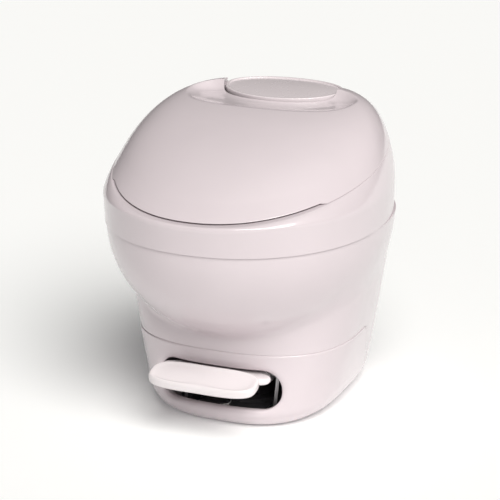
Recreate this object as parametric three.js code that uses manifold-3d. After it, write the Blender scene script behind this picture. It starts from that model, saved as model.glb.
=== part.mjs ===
// A foot-pedal RV toilet: domed lid, seat, shroud, bowl casing on a pedestal, base cover and
// pedal, with the bowl, the swinging blade, the pedal drive and the water parts inside it.
// Millimetres, +Z up, front towards -Y, origin on the floor at the middle of the footprint.
import * as THREE from 'three';
import { mergeVertices } from 'three/addons/utils/BufferGeometryUtils.js';
import Module from 'manifold-3d';

const wasm = await Module();
wasm.setup();

// Clearances and the overrun of cuts
const fitGap = 0.3;
const runningGap = 0.6;
const partingGap = 1;
const overrun = 20;

// Walls
const casingWall = 5;
const coverWall = 3;
const coverProud = 1.5;
const shroudWall = 4;
const lidWall = 3;
const bowlWall = 4;

// Foot of the casing: an egg in plan that is boxy at the rear
const footHalfWidth = 139;
const footFront = 163;
const footRear = 203;
const footCentreY = 29;
const footFillet = 32;
const footRearPower = 3.4;

// Bowl casing, an elliptical dome hanging under the seam
const seamHeight = 294;
const seamHalfWidth = 205;
const seamFront = 229;
const seamRear = 245;
const bowlDepth = 185;
const bowlPower = 2;
const eggPower = 2.12;
const creaseBlend = 14;

// Pedestal egg where the shroud's seam crosses it, tucked inside the bowl casing
const pedestalTuck = 2;
const pedestalFrontTuck = 72;
const pedestalRearTuck = 36;
const pedestalHalfWidth = seamHalfWidth - pedestalTuck;
const pedestalFront = seamFront - pedestalFrontTuck;
const pedestalRear = seamRear - pedestalRearTuck;
const pedestalPower = 2.7;

// Shroud band between the seam and the parting plane of the lid
const shroudOverhang = 2;
const rimFlare = 4.5;
const rimFrontFlare = 7;
const rimHalfWidth = seamHalfWidth + rimFlare;
const rimFront = seamFront + rimFrontFlare;
const shoulderRound = 8;
const shoulderFade = 55;

// Parting plane of the lid: front height, and how it climbs to the rear
const partingFrontHeight = 338;
const partingFrontY = -226;
const partingSlopeShare = 0.185;

// Domed form that the lid and the hump behind it share
const shoulderStep = 3.5;
const domeFrontEggPower = 2;
const shoulderFrontStep = 17;
const domeHalfWidth = rimHalfWidth - shoulderStep;
const domeFront = rimFront - shoulderFrontStep;
const domeRear = seamRear + shroudOverhang;
const domeTop = 462.5;
const domeApexY = 133;
const domeSidePower = 1.73;
const domeSideRound = 4.97;
const domeFrontPower = 1.35;
const domeFrontRound = 1.85;
const domeRearPower = 1.3;
const domeRearRound = 2.62;

// Apron of the lid: the lowest part of the dome flares out towards the shroud's shoulder
const apronHeight = 25;
const apronFlareShare = 0.65;
const apronCurvePower = 1.25;

// Finger gap under the front edge of the lid
const fingerGap = 3.5;
const fingerGapEndReach = 42;
const fingerGapHalfWidth = domeHalfWidth - fingerGapEndReach;

// Hinge cover, an oval cap, and the trough in the lid in front of it
const capHalfLength = 93.5;
const capReach = 72;
const capRearReach = 52;
const capCentreY = 140;
const capRimHeight = 452;
const capSlopeShare = 0.03;
const capSkirt = 9;
const capWall = 3;
const capRimWidth = 5;
const capRimDrop = 1.6;
const capCrown = 3.5;
const capGap = 3;
const capRearRoom = 7.5;
const capPocketGap = 0.4;
const capGapPower = 2.2;
const troughHalfLength = 131;
const troughFrontY = 10;
const troughCrestHeight = 451;
const troughFloorHalfLength = 92;
const troughFloorFrontY = 56;
const troughFloorHeight = 444.5;
const troughCentreY = 84;
const troughRearReach = 12;
const troughPower = 2.6;

// Hinge line of the seat and the lid
const hingeY = 150;
const hingeHeight = 439;
const hingePinRadius = 3.5;
const knuckleRadius = 16.5;
const humpClearRadius = 20;
const humpFrontY = 151;
const lidLugInnerX = 109.5;
const armHubRadius = 7;
const armHubInnerX = 100;
const armHubWidth = 7;
const lidLugWidth = 9;
const hingePinInnerX = 86;
const hingePinOuterX = 118;
const hingeBossRadius = 8;
const armChannelGap = 1.5;
const armChannelFrontY = 60;
const armChannelRearY = 170;
const towerHalfWidth = 92.5;
const towerFrontReach = 38;
const towerRearReach = 46;
const towerPlugInset = 4.5;
const towerPower = 2.2;

// Seat ring
const seatSideRoom = 44;
const seatFrontRoom = 38;
const seatHalfWidth = domeHalfWidth - seatSideRoom;
const seatFrontY = seatFrontRoom - domeFront;
const seatRearY = 62;
const seatCentreY = -60;
const seatHoleHalfWidth = 106;
const seatHoleFrontY = -147;
const seatHoleRearY = 28;
const seatPower = 2;
const seatThickness = 17;
const seatEdge = 7;
const seatArmDepth = 13;
const seatArmRootY = 22;
const seatLift = 4;

// Opening in the deck, and the well wall under it
const deckHoleHalfWidth = 100;
const deckHoleFrontY = -140;
const deckHoleRearY = 20;
const wellBottomHeight = 316;
const wellWall = 3.5;

// Bowl
const bowlFlangeHeight = 306;
const bowlFlangeThickness = 4;
const mouthHalfWidth = 114;
const mouthFrontY = -158;
const mouthRearY = 58;
const outletY = 12;
const outletRadius = 38;
const bowlBelly = 0.9;
const outletFlangeRadius = 54;
const outletFlangeThickness = 4;

// Blade chamber and outlet pipe
const basePlateThickness = 6;
const pipeWall = 4;
const pipeFlangeRadius = 62;
const pipeHoleRadius = 55;
const pipeFlangeThickness = 5;
const chamberFloorHeight = 84;
const chamberFloorThickness = 5;
const bladeThickness = 4;
const sealThickness = 3;
const chamberLidThickness = 4;
const bladeRadius = 43;
const bladeSwingDegrees = 85;
const bladeShaftX = 66;
const bladeShaftRadius = 5;
const bladeHubRadius = 11;
const chamberMargin = 3;
const bossRadius = 10;
const bossDepth = 8;
const chamberWall = 6;

// Pedal drive
const pedalShaftY = -54;
const pedalShaftHeight = 62;
const pedalShaftRadius = 6;
const pedalTravelDegrees = 26;
const crankLength = 48;
const crankPinRadius = 3;
const crankHubRadius = 11;
const crankTipRadius = 6.5;
const crankThickness = 6;
const crankGap = 2;
const rackWidth = 8;
const rackHeight = 7;
const rackOuterX = 91;
const rackRearY = 50;
const rackTeeth = 7;
const yokeWall = 4;
const yokeDrop = 4;
const yokeRise = 4;
const pinEndX = 83.5;
const pinionTeeth = 14;
const pinionThickness = 6;
const toothBacklashShare = 0.22;
const toothAddendumShare = 0.8;
const toothDedendumShare = 1.15;
const pressureAngle = THREE.MathUtils.degToRad(20);
const bracketX = 72;
const bracketThickness = 5;
const bracketFoot = 15;
const bracketFootThickness = 4;
const bracketFrontY = -82;
const bracketRearY = -26;
const bracketHeadRadius = 12;
const pedalShaftLeftX = -80;
const guidePostX = 93;
const guidePostThickness = 10;
const guidePostFrontY = -10;
const guidePostRearY = 20;
const guideRearY = 36;
const guideFrontY = -25;
const guideInnerX = 83;
const guideFloorThickness = 4;
const guideWallRearY = 1;
const guideWallHeight = 8;
const springY = -95;
const springRadius = 8;
const springWireRadius = 1;
const springTurns = 7;
const springSeatRadius = 11;
const springSeatThickness = 2;
const springPostRadius = 5.5;
const springPostHeight = 12;

// Pedal pad and its lever plate
const padHalfLength = 83.5;
const padFrontY = -203;
const padRearY = -149;
const padThickness = 14;
const padDish = 1.6;
const padEdge = 4;
const padTopHeight = 94.5;
const padSlopeShare = 0.235;
const padPower = 3.3;
const padSkin = 7;
const padFrontWall = 12;
const tongueHalfWidth = 58;
const tongueFrontY = -192;
const tongueThickness = 6;
const leverFrontY = -148;
const leverHalfWidth = 80;
const leverThickness = 9;
const leverSlotHeight = 79;
const leverRearY = -78;
const leverArmX = 52;
const leverArmWidth = 14;
const leverHubRadius = 11;

// Slot in the base cover
const slotHalfLength = 96;
const slotLow = 30;
const slotHigh = 93;
const slotCorner = 29;
const slotReturn = 9;
const slotReturnWall = 2.5;
const coverTopHeight = 118;
const coverCornerY = 62;
const coverHeelY = 150;
const coverCorner = 18;
const coverCornerLean = 5;

// Water parts
const valveY = 24;
const valveLength = 30;
const valveWidth = 32;
const valveHeight = 24;
const valveFaceX = 108;
const shelfThickness = 5;
const plungerRadius = 3.4;
const plungerTravel = 4;
const plungerDepth = 14;
const nippleRadius = 5;
const nippleBore = 3;
const nippleLength = 12;
const inletX = 60;
const inletFaceY = 223;
const inletRadius = 8;
const inletBore = 5;
const inletFlangeRadius = 13;
const inletFlangeThickness = 3;
const inletTail = 26;
const inletSpout = 17;
const inletHeight = 110;
const inletPadRadius = 20;
const inletPadThickness = 6;
const nutAcross = 13;
const nutLength = 9;
const breakerX = 74;
const breakerY = 152;
const breakerRadius = 15;
const breakerWall = 3;
const breakerLow = 276;
const breakerOutletHeight = 288;
const breakerSeatHeight = 315;
const breakerSeatRadius = 8;
const breakerCollarRadius = 20;
const breakerCollarThickness = 3;
const floatThickness = 4;
const floatTravel = 5.5;
const breakerCapThickness = 5;
const breakerVentRadius = 6;
const nozzleHeight = 290;
const nozzleReach = 8;
const nozzleTail = 16;
const hoseRadius = 6.5;
const clampWall = 1.4;
const clampWidth = 6;
const riserReach = 55;
const rinseReach = 32;
const supplyReach = 55;

// Fasteners
const boltRadius = 3.5;
const boltSpacing = 152;
const boltHeight = 34;
const nutRadius = 7;
const nutThickness = 6;
const washerRadius = 11;
const washerThickness = 2;
const screwRadius = 2.2;
const screwHeadRadius = 4.5;
const screwHeadThickness = 2.4;
const screwLength = 12;
const bowlScrewRing = 49;
const shroudScrewX = 60;
const shroudScrewFaceY = 236;
const shroudScrewHeight = 300;
const bowlScrewCount = 3;
const bumperRadius = 8;
const bumperFrontX = 55;
const bumperFrontY = -163;
const bumperRearX = 78;
const bumperRearY = 30;
const lidBumperRadius = 5;
const lidBumperReach = 23;
const lidBumperX = domeHalfWidth - lidBumperReach;
const lidBumperY = -20;
const lidBumperHeight = 5;
const lidShelfDepth = 6;

// How finely round forms are cut into faces
const eggSides = 30;
const ringSides = 20;
const roundSides = 16;
const smallSides = 8;
const nutSides = 6;
const cornerFaces = 4;
const hoseSteps = 8;
const springSteps = 8;
const springSides = 5;

// Counts and shares that shape the curves
const weldDistance = 1e-4;
const searchSteps = 28;
const bowlCloseShare = 0.998;
const pedestalRisePower = 0.87;
const formReach = domeRear + footRear;
const middleShift = (rimFront - domeRear) / 2;
const filletRiseShares = [0, 0.09, 0.4, 1];
const casingRiseShares = [0.3, 0.43, 0.52, 0.58, 0.64, 0.7, 0.77, 0.87, 1];
const bowlDepthShares = [0, 0.18, 0.38, 0.58, 0.78, 1];
const troughRiseShares = [0, 0.006, 0.134, 0.48, 1, 1.87, 3.1];
const troughSpreadShares = [0, 0.3, 0.62, 0.84, 1, 1.16, 1.3];
const capCrownShares = [[0.16, 0.45], [0.36, 0.85], [0.62, 1]];
const seatOuterShares = [[0, 0.3], [0.25, 0], [0.6, 0], [0.83, 0.35], [0.95, 1], [1, 2]];
const seatHoleShares = [[-0.2, 0.5], [0, 0.3], [0.25, 0], [0.6, 0], [0.83, 0.3], [0.95, 0.9], [1.05, 1.6]];
const domeRiseShares = [0, 0.1, 0.205, 0.34, 0.5, 0.65, 0.79, 0.885, 0.945, 0.98, 0.9995];
const shroudRiseShares = [0, 0.3, 0.62, 0.8, 0.91, 0.975, 1];

const finishes = {
  gloss: new THREE.MeshStandardMaterial({ color: 0xf3ebec, roughness: 0.22, metalness: 0 }),
  cap: new THREE.MeshStandardMaterial({ color: 0xe4dcdf, roughness: 0.28, metalness: 0 }),
  bowl: new THREE.MeshStandardMaterial({ color: 0xf6f2f1, roughness: 0.15, metalness: 0 }),
  frame: new THREE.MeshStandardMaterial({ color: 0x3a3a3e, roughness: 0.55, metalness: 0 }),
  acetal: new THREE.MeshStandardMaterial({ color: 0xd8d5cc, roughness: 0.4, metalness: 0 }),
  rubber: new THREE.MeshStandardMaterial({ color: 0x232325, roughness: 0.8, metalness: 0 }),
  steel: new THREE.MeshStandardMaterial({ color: 0xb9bcc0, roughness: 0.32, metalness: 1 }),
  brass: new THREE.MeshStandardMaterial({ color: 0xc9a24f, roughness: 0.35, metalness: 1 }),
};

const toilet = new THREE.Group();

const at = (x, y, z) => new THREE.Vector3(x, y, z);
const flat = (x, y) => new THREE.Vector2(x, y);

// Joining and cutting closed meshes
function toSolid(geometry) {
  const bare = geometry.clone();
  bare.deleteAttribute('normal');
  bare.deleteAttribute('uv');
  const merged = mergeVertices(bare, weldDistance);
  const index = merged.index.array;
  return new wasm.Manifold(new wasm.Mesh({
    numProp: 3,
    vertProperties: new Float32Array(merged.attributes.position.array),
    triVerts: new Uint32Array(index),
  }));
}

function toGeometry(solid) {
  const mesh = solid.getMesh();
  const geometry = new THREE.BufferGeometry();
  geometry.setAttribute('position', new THREE.BufferAttribute(mesh.vertProperties, 3));
  geometry.setIndex(new THREE.BufferAttribute(mesh.triVerts, 1));
  return geometry;
}

// Every piece is moved so that the origin lies midway between front and rear
function addPiece(name, solid, finish) {
  const mesh = new THREE.Mesh(toGeometry(solid.translate([0, middleShift, 0])), finish);
  mesh.name = name;
  toilet.add(mesh);
}

// Plain forms
function block(low, high) {
  const size = new THREE.Vector3().subVectors(high, low);
  const geometry = new THREE.BoxGeometry(size.x, size.y, size.z);
  geometry.translate((low.x + high.x) / 2, (low.y + high.y) / 2, (low.z + high.z) / 2);
  return toSolid(geometry);
}

function rod(radius, from, to, sides = smallSides) {
  const span = new THREE.Vector3().subVectors(to, from);
  const geometry = new THREE.CylinderGeometry(radius, radius, span.length(), sides);
  const turn = new THREE.Quaternion().setFromUnitVectors(
    new THREE.Vector3(0, 1, 0),
    span.clone().normalize(),
  );
  geometry.applyQuaternion(turn);
  const middle = new THREE.Vector3().addVectors(from, to).multiplyScalar(0.5);
  geometry.translate(middle.x, middle.y, middle.z);
  return toSolid(geometry);
}

function upright(radius, x, y, low, high, sides = smallSides) {
  return rod(radius, at(x, y, low), at(x, y, high), sides);
}

function across(radius, fromX, toX, y, z, sides = smallSides) {
  return rod(radius, at(fromX, y, z), at(toX, y, z), sides);
}

function along(radius, x, fromY, toY, z, sides = smallSides) {
  return rod(radius, at(x, fromY, z), at(x, toY, z), sides);
}

// A flat outline in X and Y, raised from one height to another
function prism(outline, low, high) {
  const geometry = new THREE.ExtrudeGeometry(new THREE.Shape(outline), {
    depth: high - low,
    bevelEnabled: false,
  });
  geometry.translate(0, 0, low);
  return toSolid(geometry);
}

// An outline in Y and Z, drawn out along X
function sidePrism(outline, fromX, toX) {
  const geometry = new THREE.ExtrudeGeometry(new THREE.Shape(outline), {
    depth: toX - fromX,
    bevelEnabled: false,
  });
  geometry.applyMatrix4(new THREE.Matrix4().set(0, 0, 1, fromX, 1, 0, 0, 0, 0, 1, 0, 0, 0, 0, 0, 1));
  return toSolid(geometry);
}

// An outline in X and Z, drawn out along Y
function frontPrism(outline, fromY, toY) {
  const turnedOver = outline.map((point) => flat(-point.x, point.y));
  const geometry = new THREE.ExtrudeGeometry(new THREE.Shape(turnedOver), {
    depth: toY - fromY,
    bevelEnabled: false,
  });
  geometry.applyMatrix4(new THREE.Matrix4().set(-1, 0, 0, 0, 0, 0, 1, fromY, 0, 1, 0, 0, 0, 0, 0, 1));
  return toSolid(geometry);
}

// Outline round two circles, drawn tight like a belt
function belt(a, radiusA, b, radiusB, sides = smallSides) {
  const heading = Math.atan2(b.y - a.y, b.x - a.x);
  const lean = Math.acos((radiusA - radiusB) / a.distanceTo(b));
  const arc = (centre, radius, from, to) => Array.from({ length: sides + 1 }, (_, step) => {
    const angle = from + ((to - from) * step) / sides;
    return flat(centre.x + radius * Math.cos(angle), centre.y + radius * Math.sin(angle));
  });
  return [
    ...arc(a, radiusA, heading + lean, heading + 2 * Math.PI - lean),
    ...arc(b, radiusB, heading - lean, heading + lean),
  ];
}

// Curve that takes the place of an outline's corner
function softCorner(before, corner, after, reach) {
  const start = corner.clone().add(before.clone().sub(corner).setLength(reach));
  const end = corner.clone().add(after.clone().sub(corner).setLength(reach));
  return new THREE.QuadraticBezierCurve(start, corner, end).getPoints(cornerFaces);
}

// Rounded box outline, half its width to each side and from low to high
function roundedBox(half, low, high, radius) {
  const corners = [flat(half, low), flat(half, high), flat(-half, high), flat(-half, low)];
  return corners.flatMap((corner, index) => {
    const inward = flat(-Math.sign(corner.x) * radius, corner.y === low ? radius : -radius);
    const centre = corner.clone().add(inward);
    const start = (index - 1) * (Math.PI / 2);
    return Array.from({ length: cornerFaces + 1 }, (_, step) => {
      const angle = start + ((Math.PI / 2) * step) / cornerFaces;
      return flat(centre.x + radius * Math.cos(angle), centre.y + radius * Math.sin(angle));
    });
  });
}

// A closed skin over rings of points, from the lowest ring to the highest
function loft(rings) {
  const count = rings[0].length;
  const points = rings.flat();
  const triangles = [];
  for (let ring = 0; ring + 1 < rings.length; ring += 1) {
    for (let side = 0; side < count; side += 1) {
      const next = (side + 1) % count;
      const a = ring * count + side;
      const b = ring * count + next;
      triangles.push(a, b, b + count, a, b + count, a + count);
    }
  }
  [0, rings.length - 1].forEach((ring, end) => {
    const middle = points.length;
    const centre = new THREE.Vector3();
    rings[ring].forEach((point) => centre.add(point));
    points.push(centre.multiplyScalar(1 / count));
    for (let side = 0; side < count; side += 1) {
      const a = ring * count + side;
      const b = ring * count + (side + 1) % count;
      triangles.push(...(end ? [middle, a, b] : [middle, b, a]));
    }
  });
  const geometry = new THREE.BufferGeometry();
  geometry.setAttribute(
    'position',
    new THREE.Float32BufferAttribute(points.flatMap((p) => [p.x, p.y, p.z]), 3),
  );
  geometry.setIndex(triangles);
  return toSolid(geometry);
}

// A round cord through a row of points, run on past its ends when it is a bore
function cord(points, radius, sides, ends = 0) {
  const last = points.length - 1;
  let side = null;
  return loft(points.map((point, index) => {
    const ahead = points[Math.min(index + 1, last)].clone().sub(points[Math.max(index - 1, 0)]).normalize();
    side = side ?? at(ahead.y, ahead.z, ahead.x).cross(ahead);
    side.addScaledVector(ahead, -side.dot(ahead)).normalize();
    const up = ahead.clone().cross(side);
    const centre = point.clone().addScaledVector(
      ahead,
      ends * (Number(index === last) - Number(index === 0)),
    );
    return turns(sides).map((turn) => centre.clone()
      .addScaledVector(side, radius * Math.cos(turn))
      .addScaledVector(up, radius * Math.sin(turn)));
  }));
}

// Eggs: superellipses with their own reach to the front and to the rear of the centre
function turns(sides = eggSides) {
  return Array.from({ length: sides }, (_, side) => (side / sides) * Math.PI * 2);
}

function eggReach(egg, turn) {
  const forward = Math.cos(turn);
  const reach = forward > 0 ? egg.front : egg.rear;
  const power = forward > 0 ? egg.power : egg.rearPower ?? egg.power;
  const sideways = Math.abs(Math.sin(turn)) / egg.half;
  const along = Math.abs(forward) / reach;
  return (sideways ** power + along ** power) ** (-1 / power);
}

function eggPoint(egg, turn, height, grow = 0) {
  const reach = eggReach(egg, turn) + grow;
  return new THREE.Vector3(reach * Math.sin(turn), egg.centre - reach * Math.cos(turn), height);
}

function eggPrism(egg, low, high, grow = 0, sides = eggSides) {
  return loft([low, high].map((height) => turns(sides).map((turn) => eggPoint(egg, turn, height, grow))));
}

function partingHeight(y) {
  return partingFrontHeight + partingSlopeShare * (y - partingFrontY);
}

// Outer form of the casing at a height: the pedestal and the bowl, blended where they meet
function pedestalEgg(height) {
  const rise = THREE.MathUtils.clamp(height / seamHeight, 0, 1) ** pedestalRisePower;
  const mix = (low, high) => low + (high - low) * rise;
  return {
    half: mix(footHalfWidth, pedestalHalfWidth),
    front: mix(footFront, pedestalFront),
    rear: mix(footRear, pedestalRear),
    centre: footCentreY,
    power: pedestalPower,
    rearPower: mix(footRearPower, eggPower),
  };
}

function bowlEgg(height) {
  const drop = THREE.MathUtils.clamp((seamHeight - height) / bowlDepth, 0, bowlCloseShare);
  const share = (1 - drop ** bowlPower) ** (1 / bowlPower);
  return {
    half: seamHalfWidth * share,
    front: seamFront * share,
    rear: seamRear * share,
    centre: 0,
    power: eggPower,
  };
}

// Distance from the upright line through the origin to an egg's edge
function reachFromOrigin(egg, turn) {
  let near = 0;
  let far = egg.front + egg.rear + egg.half;
  for (let step = 0; step < searchSteps; step += 1) {
    const reach = (near + far) / 2;
    const x = reach * Math.sin(turn);
    const y = -reach * Math.cos(turn) - egg.centre;
    const inside = Math.hypot(x, y) < eggReach(egg, Math.atan2(x, -y));
    if (inside) near = reach;
    else far = reach;
  }
  return (near + far) / 2;
}

function blendOut(a, b, width) {
  const mix = THREE.MathUtils.clamp(0.5 + (a - b) / (2 * width), 0, 1);
  return b + (a - b) * mix + width * mix * (1 - mix);
}

// The foot's fillet keeps its centre when the form is inset, so its wall stays even
function casingReach(turn, height, inset = 0) {
  const plain = blendOut(
    eggReach(bowlEgg(height), turn),
    reachFromOrigin(pedestalEgg(height), turn),
    creaseBlend,
  );
  if (height >= footFillet) return plain - inset;
  const rise = Math.max(height, 0);
  const rounded = (footFillet - inset) ** 2 - (footFillet - rise) ** 2;
  return plain - footFillet + Math.sqrt(Math.max(rounded, 0)) - Math.max(inset - rise, 0);
}

function casingRing(height, inset) {
  return turns().map((turn) => {
    const reach = casingReach(turn, height, inset);
    return at(reach * Math.sin(turn), -reach * Math.cos(turn), height);
  });
}

// As a cutter the form runs on past both of its ends
function casingForm(inset, ends = 0) {
  const heights = [
    ...filletRiseShares.map((share) => share * footFillet),
    ...casingRiseShares.map((share) => footFillet + share * (seamHeight - footFillet)),
  ];
  const runOn = ends ? [-ends, ...heights, seamHeight + ends] : heights;
  return loft(runOn.map((height) => casingRing(height, inset)));
}

// The dome shared by the lid and the hump
function domeEgg(height, inset) {
  const top = domeTop - inset;
  const rise = THREE.MathUtils.clamp((height - partingFrontHeight) / (top - partingFrontHeight), 0, 1);
  const side = (1 - rise ** domeSidePower) ** (1 / domeSideRound);
  const front = (1 - rise ** domeFrontPower) ** (1 / domeFrontRound);
  const rear = (1 - rise ** domeRearPower) ** (1 / domeRearRound);
  const centre = domeApexY * (1 - front);
  return {
    half: (domeHalfWidth - inset) * side,
    front: centre - domeApexY + (domeFront - inset + domeApexY) * front,
    rear: domeApexY + (domeRear - inset - domeApexY) * rear - centre,
    centre,
    power: domeFrontEggPower,
    rearPower: eggPower,
  };
}

// How far the shroud's outer face stands outside the dome, fading out towards the rear
function shoulderReach(turn, height, inset) {
  const rise = THREE.MathUtils.clamp((height - seamHeight) / (partingFrontHeight - seamHeight), 0, 1);
  const mix = (low, high) => low + (high - low) * rise;
  const band = {
    half: mix(seamHalfWidth + shroudOverhang, rimHalfWidth) - inset,
    front: mix(seamFront + shroudOverhang, rimFront) - inset,
    rear: domeRear - inset,
    power: eggPower,
  };
  const fade = THREE.MathUtils.clamp(1 - (height - partingFrontHeight) / shoulderFade, 0, 1);
  return fade * (eggReach(band, turn) - eggReach(domeEgg(partingFrontHeight, inset), turn));
}

function partingLevel(turn, inset, drop) {
  let height = partingFrontHeight;
  for (let step = 0; step < searchSteps; step += 1) {
    const flare = apronFlareShare * shoulderReach(turn, height, inset);
    const point = eggPoint(domeEgg(height, inset), turn, height, flare);
    height = (height + partingHeight(point.y) - drop) / 2;
  }
  return height;
}

// Dome from a little below the parting plane to its top, with the apron round its foot
function domeForm(inset, drop) {
  const top = domeTop - inset;
  return loft(domeRiseShares.map((share) => turns().map((turn) => {
    const low = partingLevel(turn, inset, drop);
    const height = low + (top - low) * share;
    const climb = (height - partingLevel(turn, inset, 0)) / apronHeight;
    const flare = apronFlareShare * THREE.MathUtils.clamp(1 - climb, 0, 1) ** apronCurvePower;
    return eggPoint(domeEgg(height, inset), turn, height, flare * shoulderReach(turn, height, inset));
  })));
}

// Shroud skin from the seam to the parting plane, with its rounded shoulder in front
function shroudReach(turn, height, parting, inset) {
  const dome = domeEgg(Math.max(height, partingFrontHeight), inset);
  const over = THREE.MathUtils.clamp(1 - (parting - height) / shoulderRound, 0, 1);
  const share = apronFlareShare + (1 - apronFlareShare) * Math.sqrt(1 - over ** 2);
  return { egg: dome, grow: share * shoulderReach(turn, height, inset) };
}

function shroudForm(inset, lift, sunk = 0) {
  const low = seamHeight + fitGap;
  const rings = shroudRiseShares.map((share) => turns().map((turn) => {
    const parting = partingLevel(turn, inset, 0) + lift;
    const height = low + (parting - low) * share;
    const skin = shroudReach(turn, height, parting, inset);
    return eggPoint(skin.egg, turn, height, skin.grow);
  }));
  if (sunk) rings.unshift(rings[0].map((point) => at(point.x, point.y, point.z - sunk)));
  return loft(rings);
}

// Everything under the parting plane, moved up or down by a lift
function belowParting(lift) {
  const corners = [
    flat(-formReach, -overrun),
    flat(formReach, -overrun),
    flat(formReach, partingHeight(formReach) + lift),
    flat(-formReach, partingHeight(-formReach) + lift),
  ];
  return sidePrism(corners, -formReach, formReach);
}

function onParting(solid, low, high) {
  return solid.intersect(belowParting(high)).subtract(belowParting(low));
}

function mirrored(solid) {
  return solid.mirror([1, 0, 0]);
}

function bothSides(solid) {
  return solid.add(mirrored(solid));
}

// Region of the base cover in side view: a soft top corner and a slanted rear edge
function coverRegion(grow) {
  const heel = flat(coverHeelY + grow, -overrun);
  const corner = flat(coverCornerY - coverCornerLean + grow, coverTopHeight + grow);
  const front = flat(-formReach, coverTopHeight + grow);
  const outline = [
    flat(-formReach, -overrun),
    heel,
    ...softCorner(heel, corner, front, coverCorner),
    front,
  ];
  return sidePrism(outline, -formReach, formReach);
}

function slotCut(grow) {
  const outline = roundedBox(slotHalfLength + grow, slotLow - grow, slotHigh + grow, slotCorner + grow);
  return frontPrism(outline, -formReach, 0);
}

// Cover and casing share the form, so the casing's pocket follows the cover all round
const coverInset = coverWall - coverProud;
const coverSkin = casingForm(-coverProud);
const slotTube = slotCut(slotReturnWall).intersect(coverSkin).subtract(casingForm(slotReturn, overrun));
const baseCover = coverSkin.subtract(casingForm(coverInset, overrun)).intersect(coverRegion(0))
  .intersect(block(at(-formReach, -formReach, 0), at(formReach, formReach, seamHeight)))
  .add(slotTube).subtract(slotCut(0));
addPiece('base_cover', baseCover, finishes.gloss);

// Casing: one hollow moulding with a spigot round its rim and a flat pad for the water inlet
const spigotInset = shroudWall - shroudOverhang + fitGap;
const spigotEgg = {
  half: seamHalfWidth - spigotInset,
  front: seamFront - spigotInset,
  rear: seamRear - spigotInset,
  centre: 0,
  power: eggPower,
};
const spigotTop = bowlFlangeHeight - fitGap;
const inletPad = along(
  inletPadRadius, inletX, inletFaceY - inletPadThickness,
  formReach, inletHeight, roundSides,
);
const inletSpotface = along(
  inletPadRadius - inletPadThickness / 2, inletX, inletFaceY,
  formReach, inletHeight, roundSides,
);
const shroudScrews = [-shroudScrewX, shroudScrewX];
const casingSolid = casingForm(0);
const bodyShell = casingSolid.add(eggPrism(spigotEgg, seamHeight - casingWall, spigotTop))
  .subtract(casingForm(casingWall, overrun))
  .add(inletPad.intersect(casingSolid))
  .subtract(inletSpotface)
  .subtract(along(inletRadius + fitGap, inletX, 0, formReach, inletHeight, smallSides))
  .subtract(coverRegion(fitGap).subtract(casingForm(coverInset + fitGap, 0)))
  .subtract(slotCut(slotReturnWall + runningGap))
  .subtract(shroudScrews.map((x) => along(screwRadius + fitGap, x, 0, formReach, shroudScrewHeight))
    .reduce((all, hole) => all.add(hole)));
addPiece('body_shell', bodyShell, finishes.gloss);

// Oval hinge cover: raised rim, shallow recess and a low crown, on a sloping plane
const capEgg = { half: capHalfLength, front: capReach, rear: capRearReach, centre: capCentreY, power: 2 };
const towerEgg = {
  half: towerHalfWidth,
  front: towerFrontReach,
  rear: towerRearReach,
  centre: capCentreY,
  power: towerPower,
};

function capRing(egg, lift, grow) {
  return turns().map((turn) => {
    const point = eggPoint(egg, turn, capRimHeight, grow);
    point.z += capSlopeShare * (point.y - capCentreY + capReach) + lift;
    return point;
  });
}

const capInnerTop = -capRimDrop - capWall;
const capOuter = loft([
  capRing(capEgg, -capSkirt, 0),
  capRing(capEgg, -capRimDrop, 0),
  capRing(capEgg, -capRimDrop / 4, -capRimDrop / 4),
  capRing(capEgg, 0, -capRimDrop),
  capRing(capEgg, 0, -capRimWidth),
  capRing(capEgg, -capRimDrop, -capRimWidth - capRimDrop / 2),
  ...capCrownShares.map(
    ([inward, rise]) => capRing(capEgg, -capRimDrop + capCrown * rise, -capReach * inward),
  ),
]);
const capInner = loft(
  [capRing(capEgg, -capSkirt - overrun, -capWall), capRing(capEgg, capInnerTop, -capWall)],
);
addPiece('hinge_cover', capOuter.subtract(capInner), finishes.cap);

// Shroud: seat deck with the well wall, and the hump and tower behind the lid
const deckHole = {
  half: deckHoleHalfWidth,
  front: (deckHoleRearY - deckHoleFrontY) / 2,
  rear: (deckHoleRearY - deckHoleFrontY) / 2,
  centre: (deckHoleRearY + deckHoleFrontY) / 2,
  power: eggPower,
};

function humpRegion(inset) {
  const behind = block(at(-formReach, humpFrontY + inset, 0), at(formReach, formReach, domeTop + overrun));
  return behind.subtract(
    across(humpClearRadius + inset, -formReach, formReach, hingeY, hingeHeight, ringSides),
  );
}

const deckTop = belowParting(0);
const towerTopLift = -capSkirt - fitGap;
const towerLow = partingHeight(capCentreY - towerFrontReach) - shroudWall;
const towerBase = turns().map((turn) => eggPoint(towerEgg, turn, towerLow));
const towerInnerBase = turns().map((turn) => eggPoint(towerEgg, turn, towerLow - overrun, -shroudWall));
const towerOuter = loft([towerBase, capRing(towerEgg, towerTopLift, 0)]);
const towerInner = loft([towerInnerBase, capRing(towerEgg, towerTopLift - shroudWall, -shroudWall)]);
const towerPlug = loft([
  capRing(towerEgg, towerTopLift - shroudWall / 2, -towerPlugInset),
  capRing(towerEgg, capInnerTop - fitGap, -towerPlugInset),
]);
const capPocket = loft(
  [capRing(capEgg, towerTopLift, capPocketGap), capRing(capEgg, overrun, capPocketGap)],
);
const humpOuter = domeForm(0, shroudWall / 2).intersect(humpRegion(0));
const humpInner = domeForm(shroudWall, shroudWall + overrun / 2).intersect(humpRegion(shroudWall));
const wellTube = eggPrism(deckHole, wellBottomHeight, domeTop, wellWall).intersect(deckTop);
const hingeBoss = across(
  hingeBossRadius, hingePinInnerX - shroudWall, towerHalfWidth,
  hingeY, hingeHeight, roundSides,
);
const bossRoom = towerOuter.subtract(humpInner.subtract(towerOuter));
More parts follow.
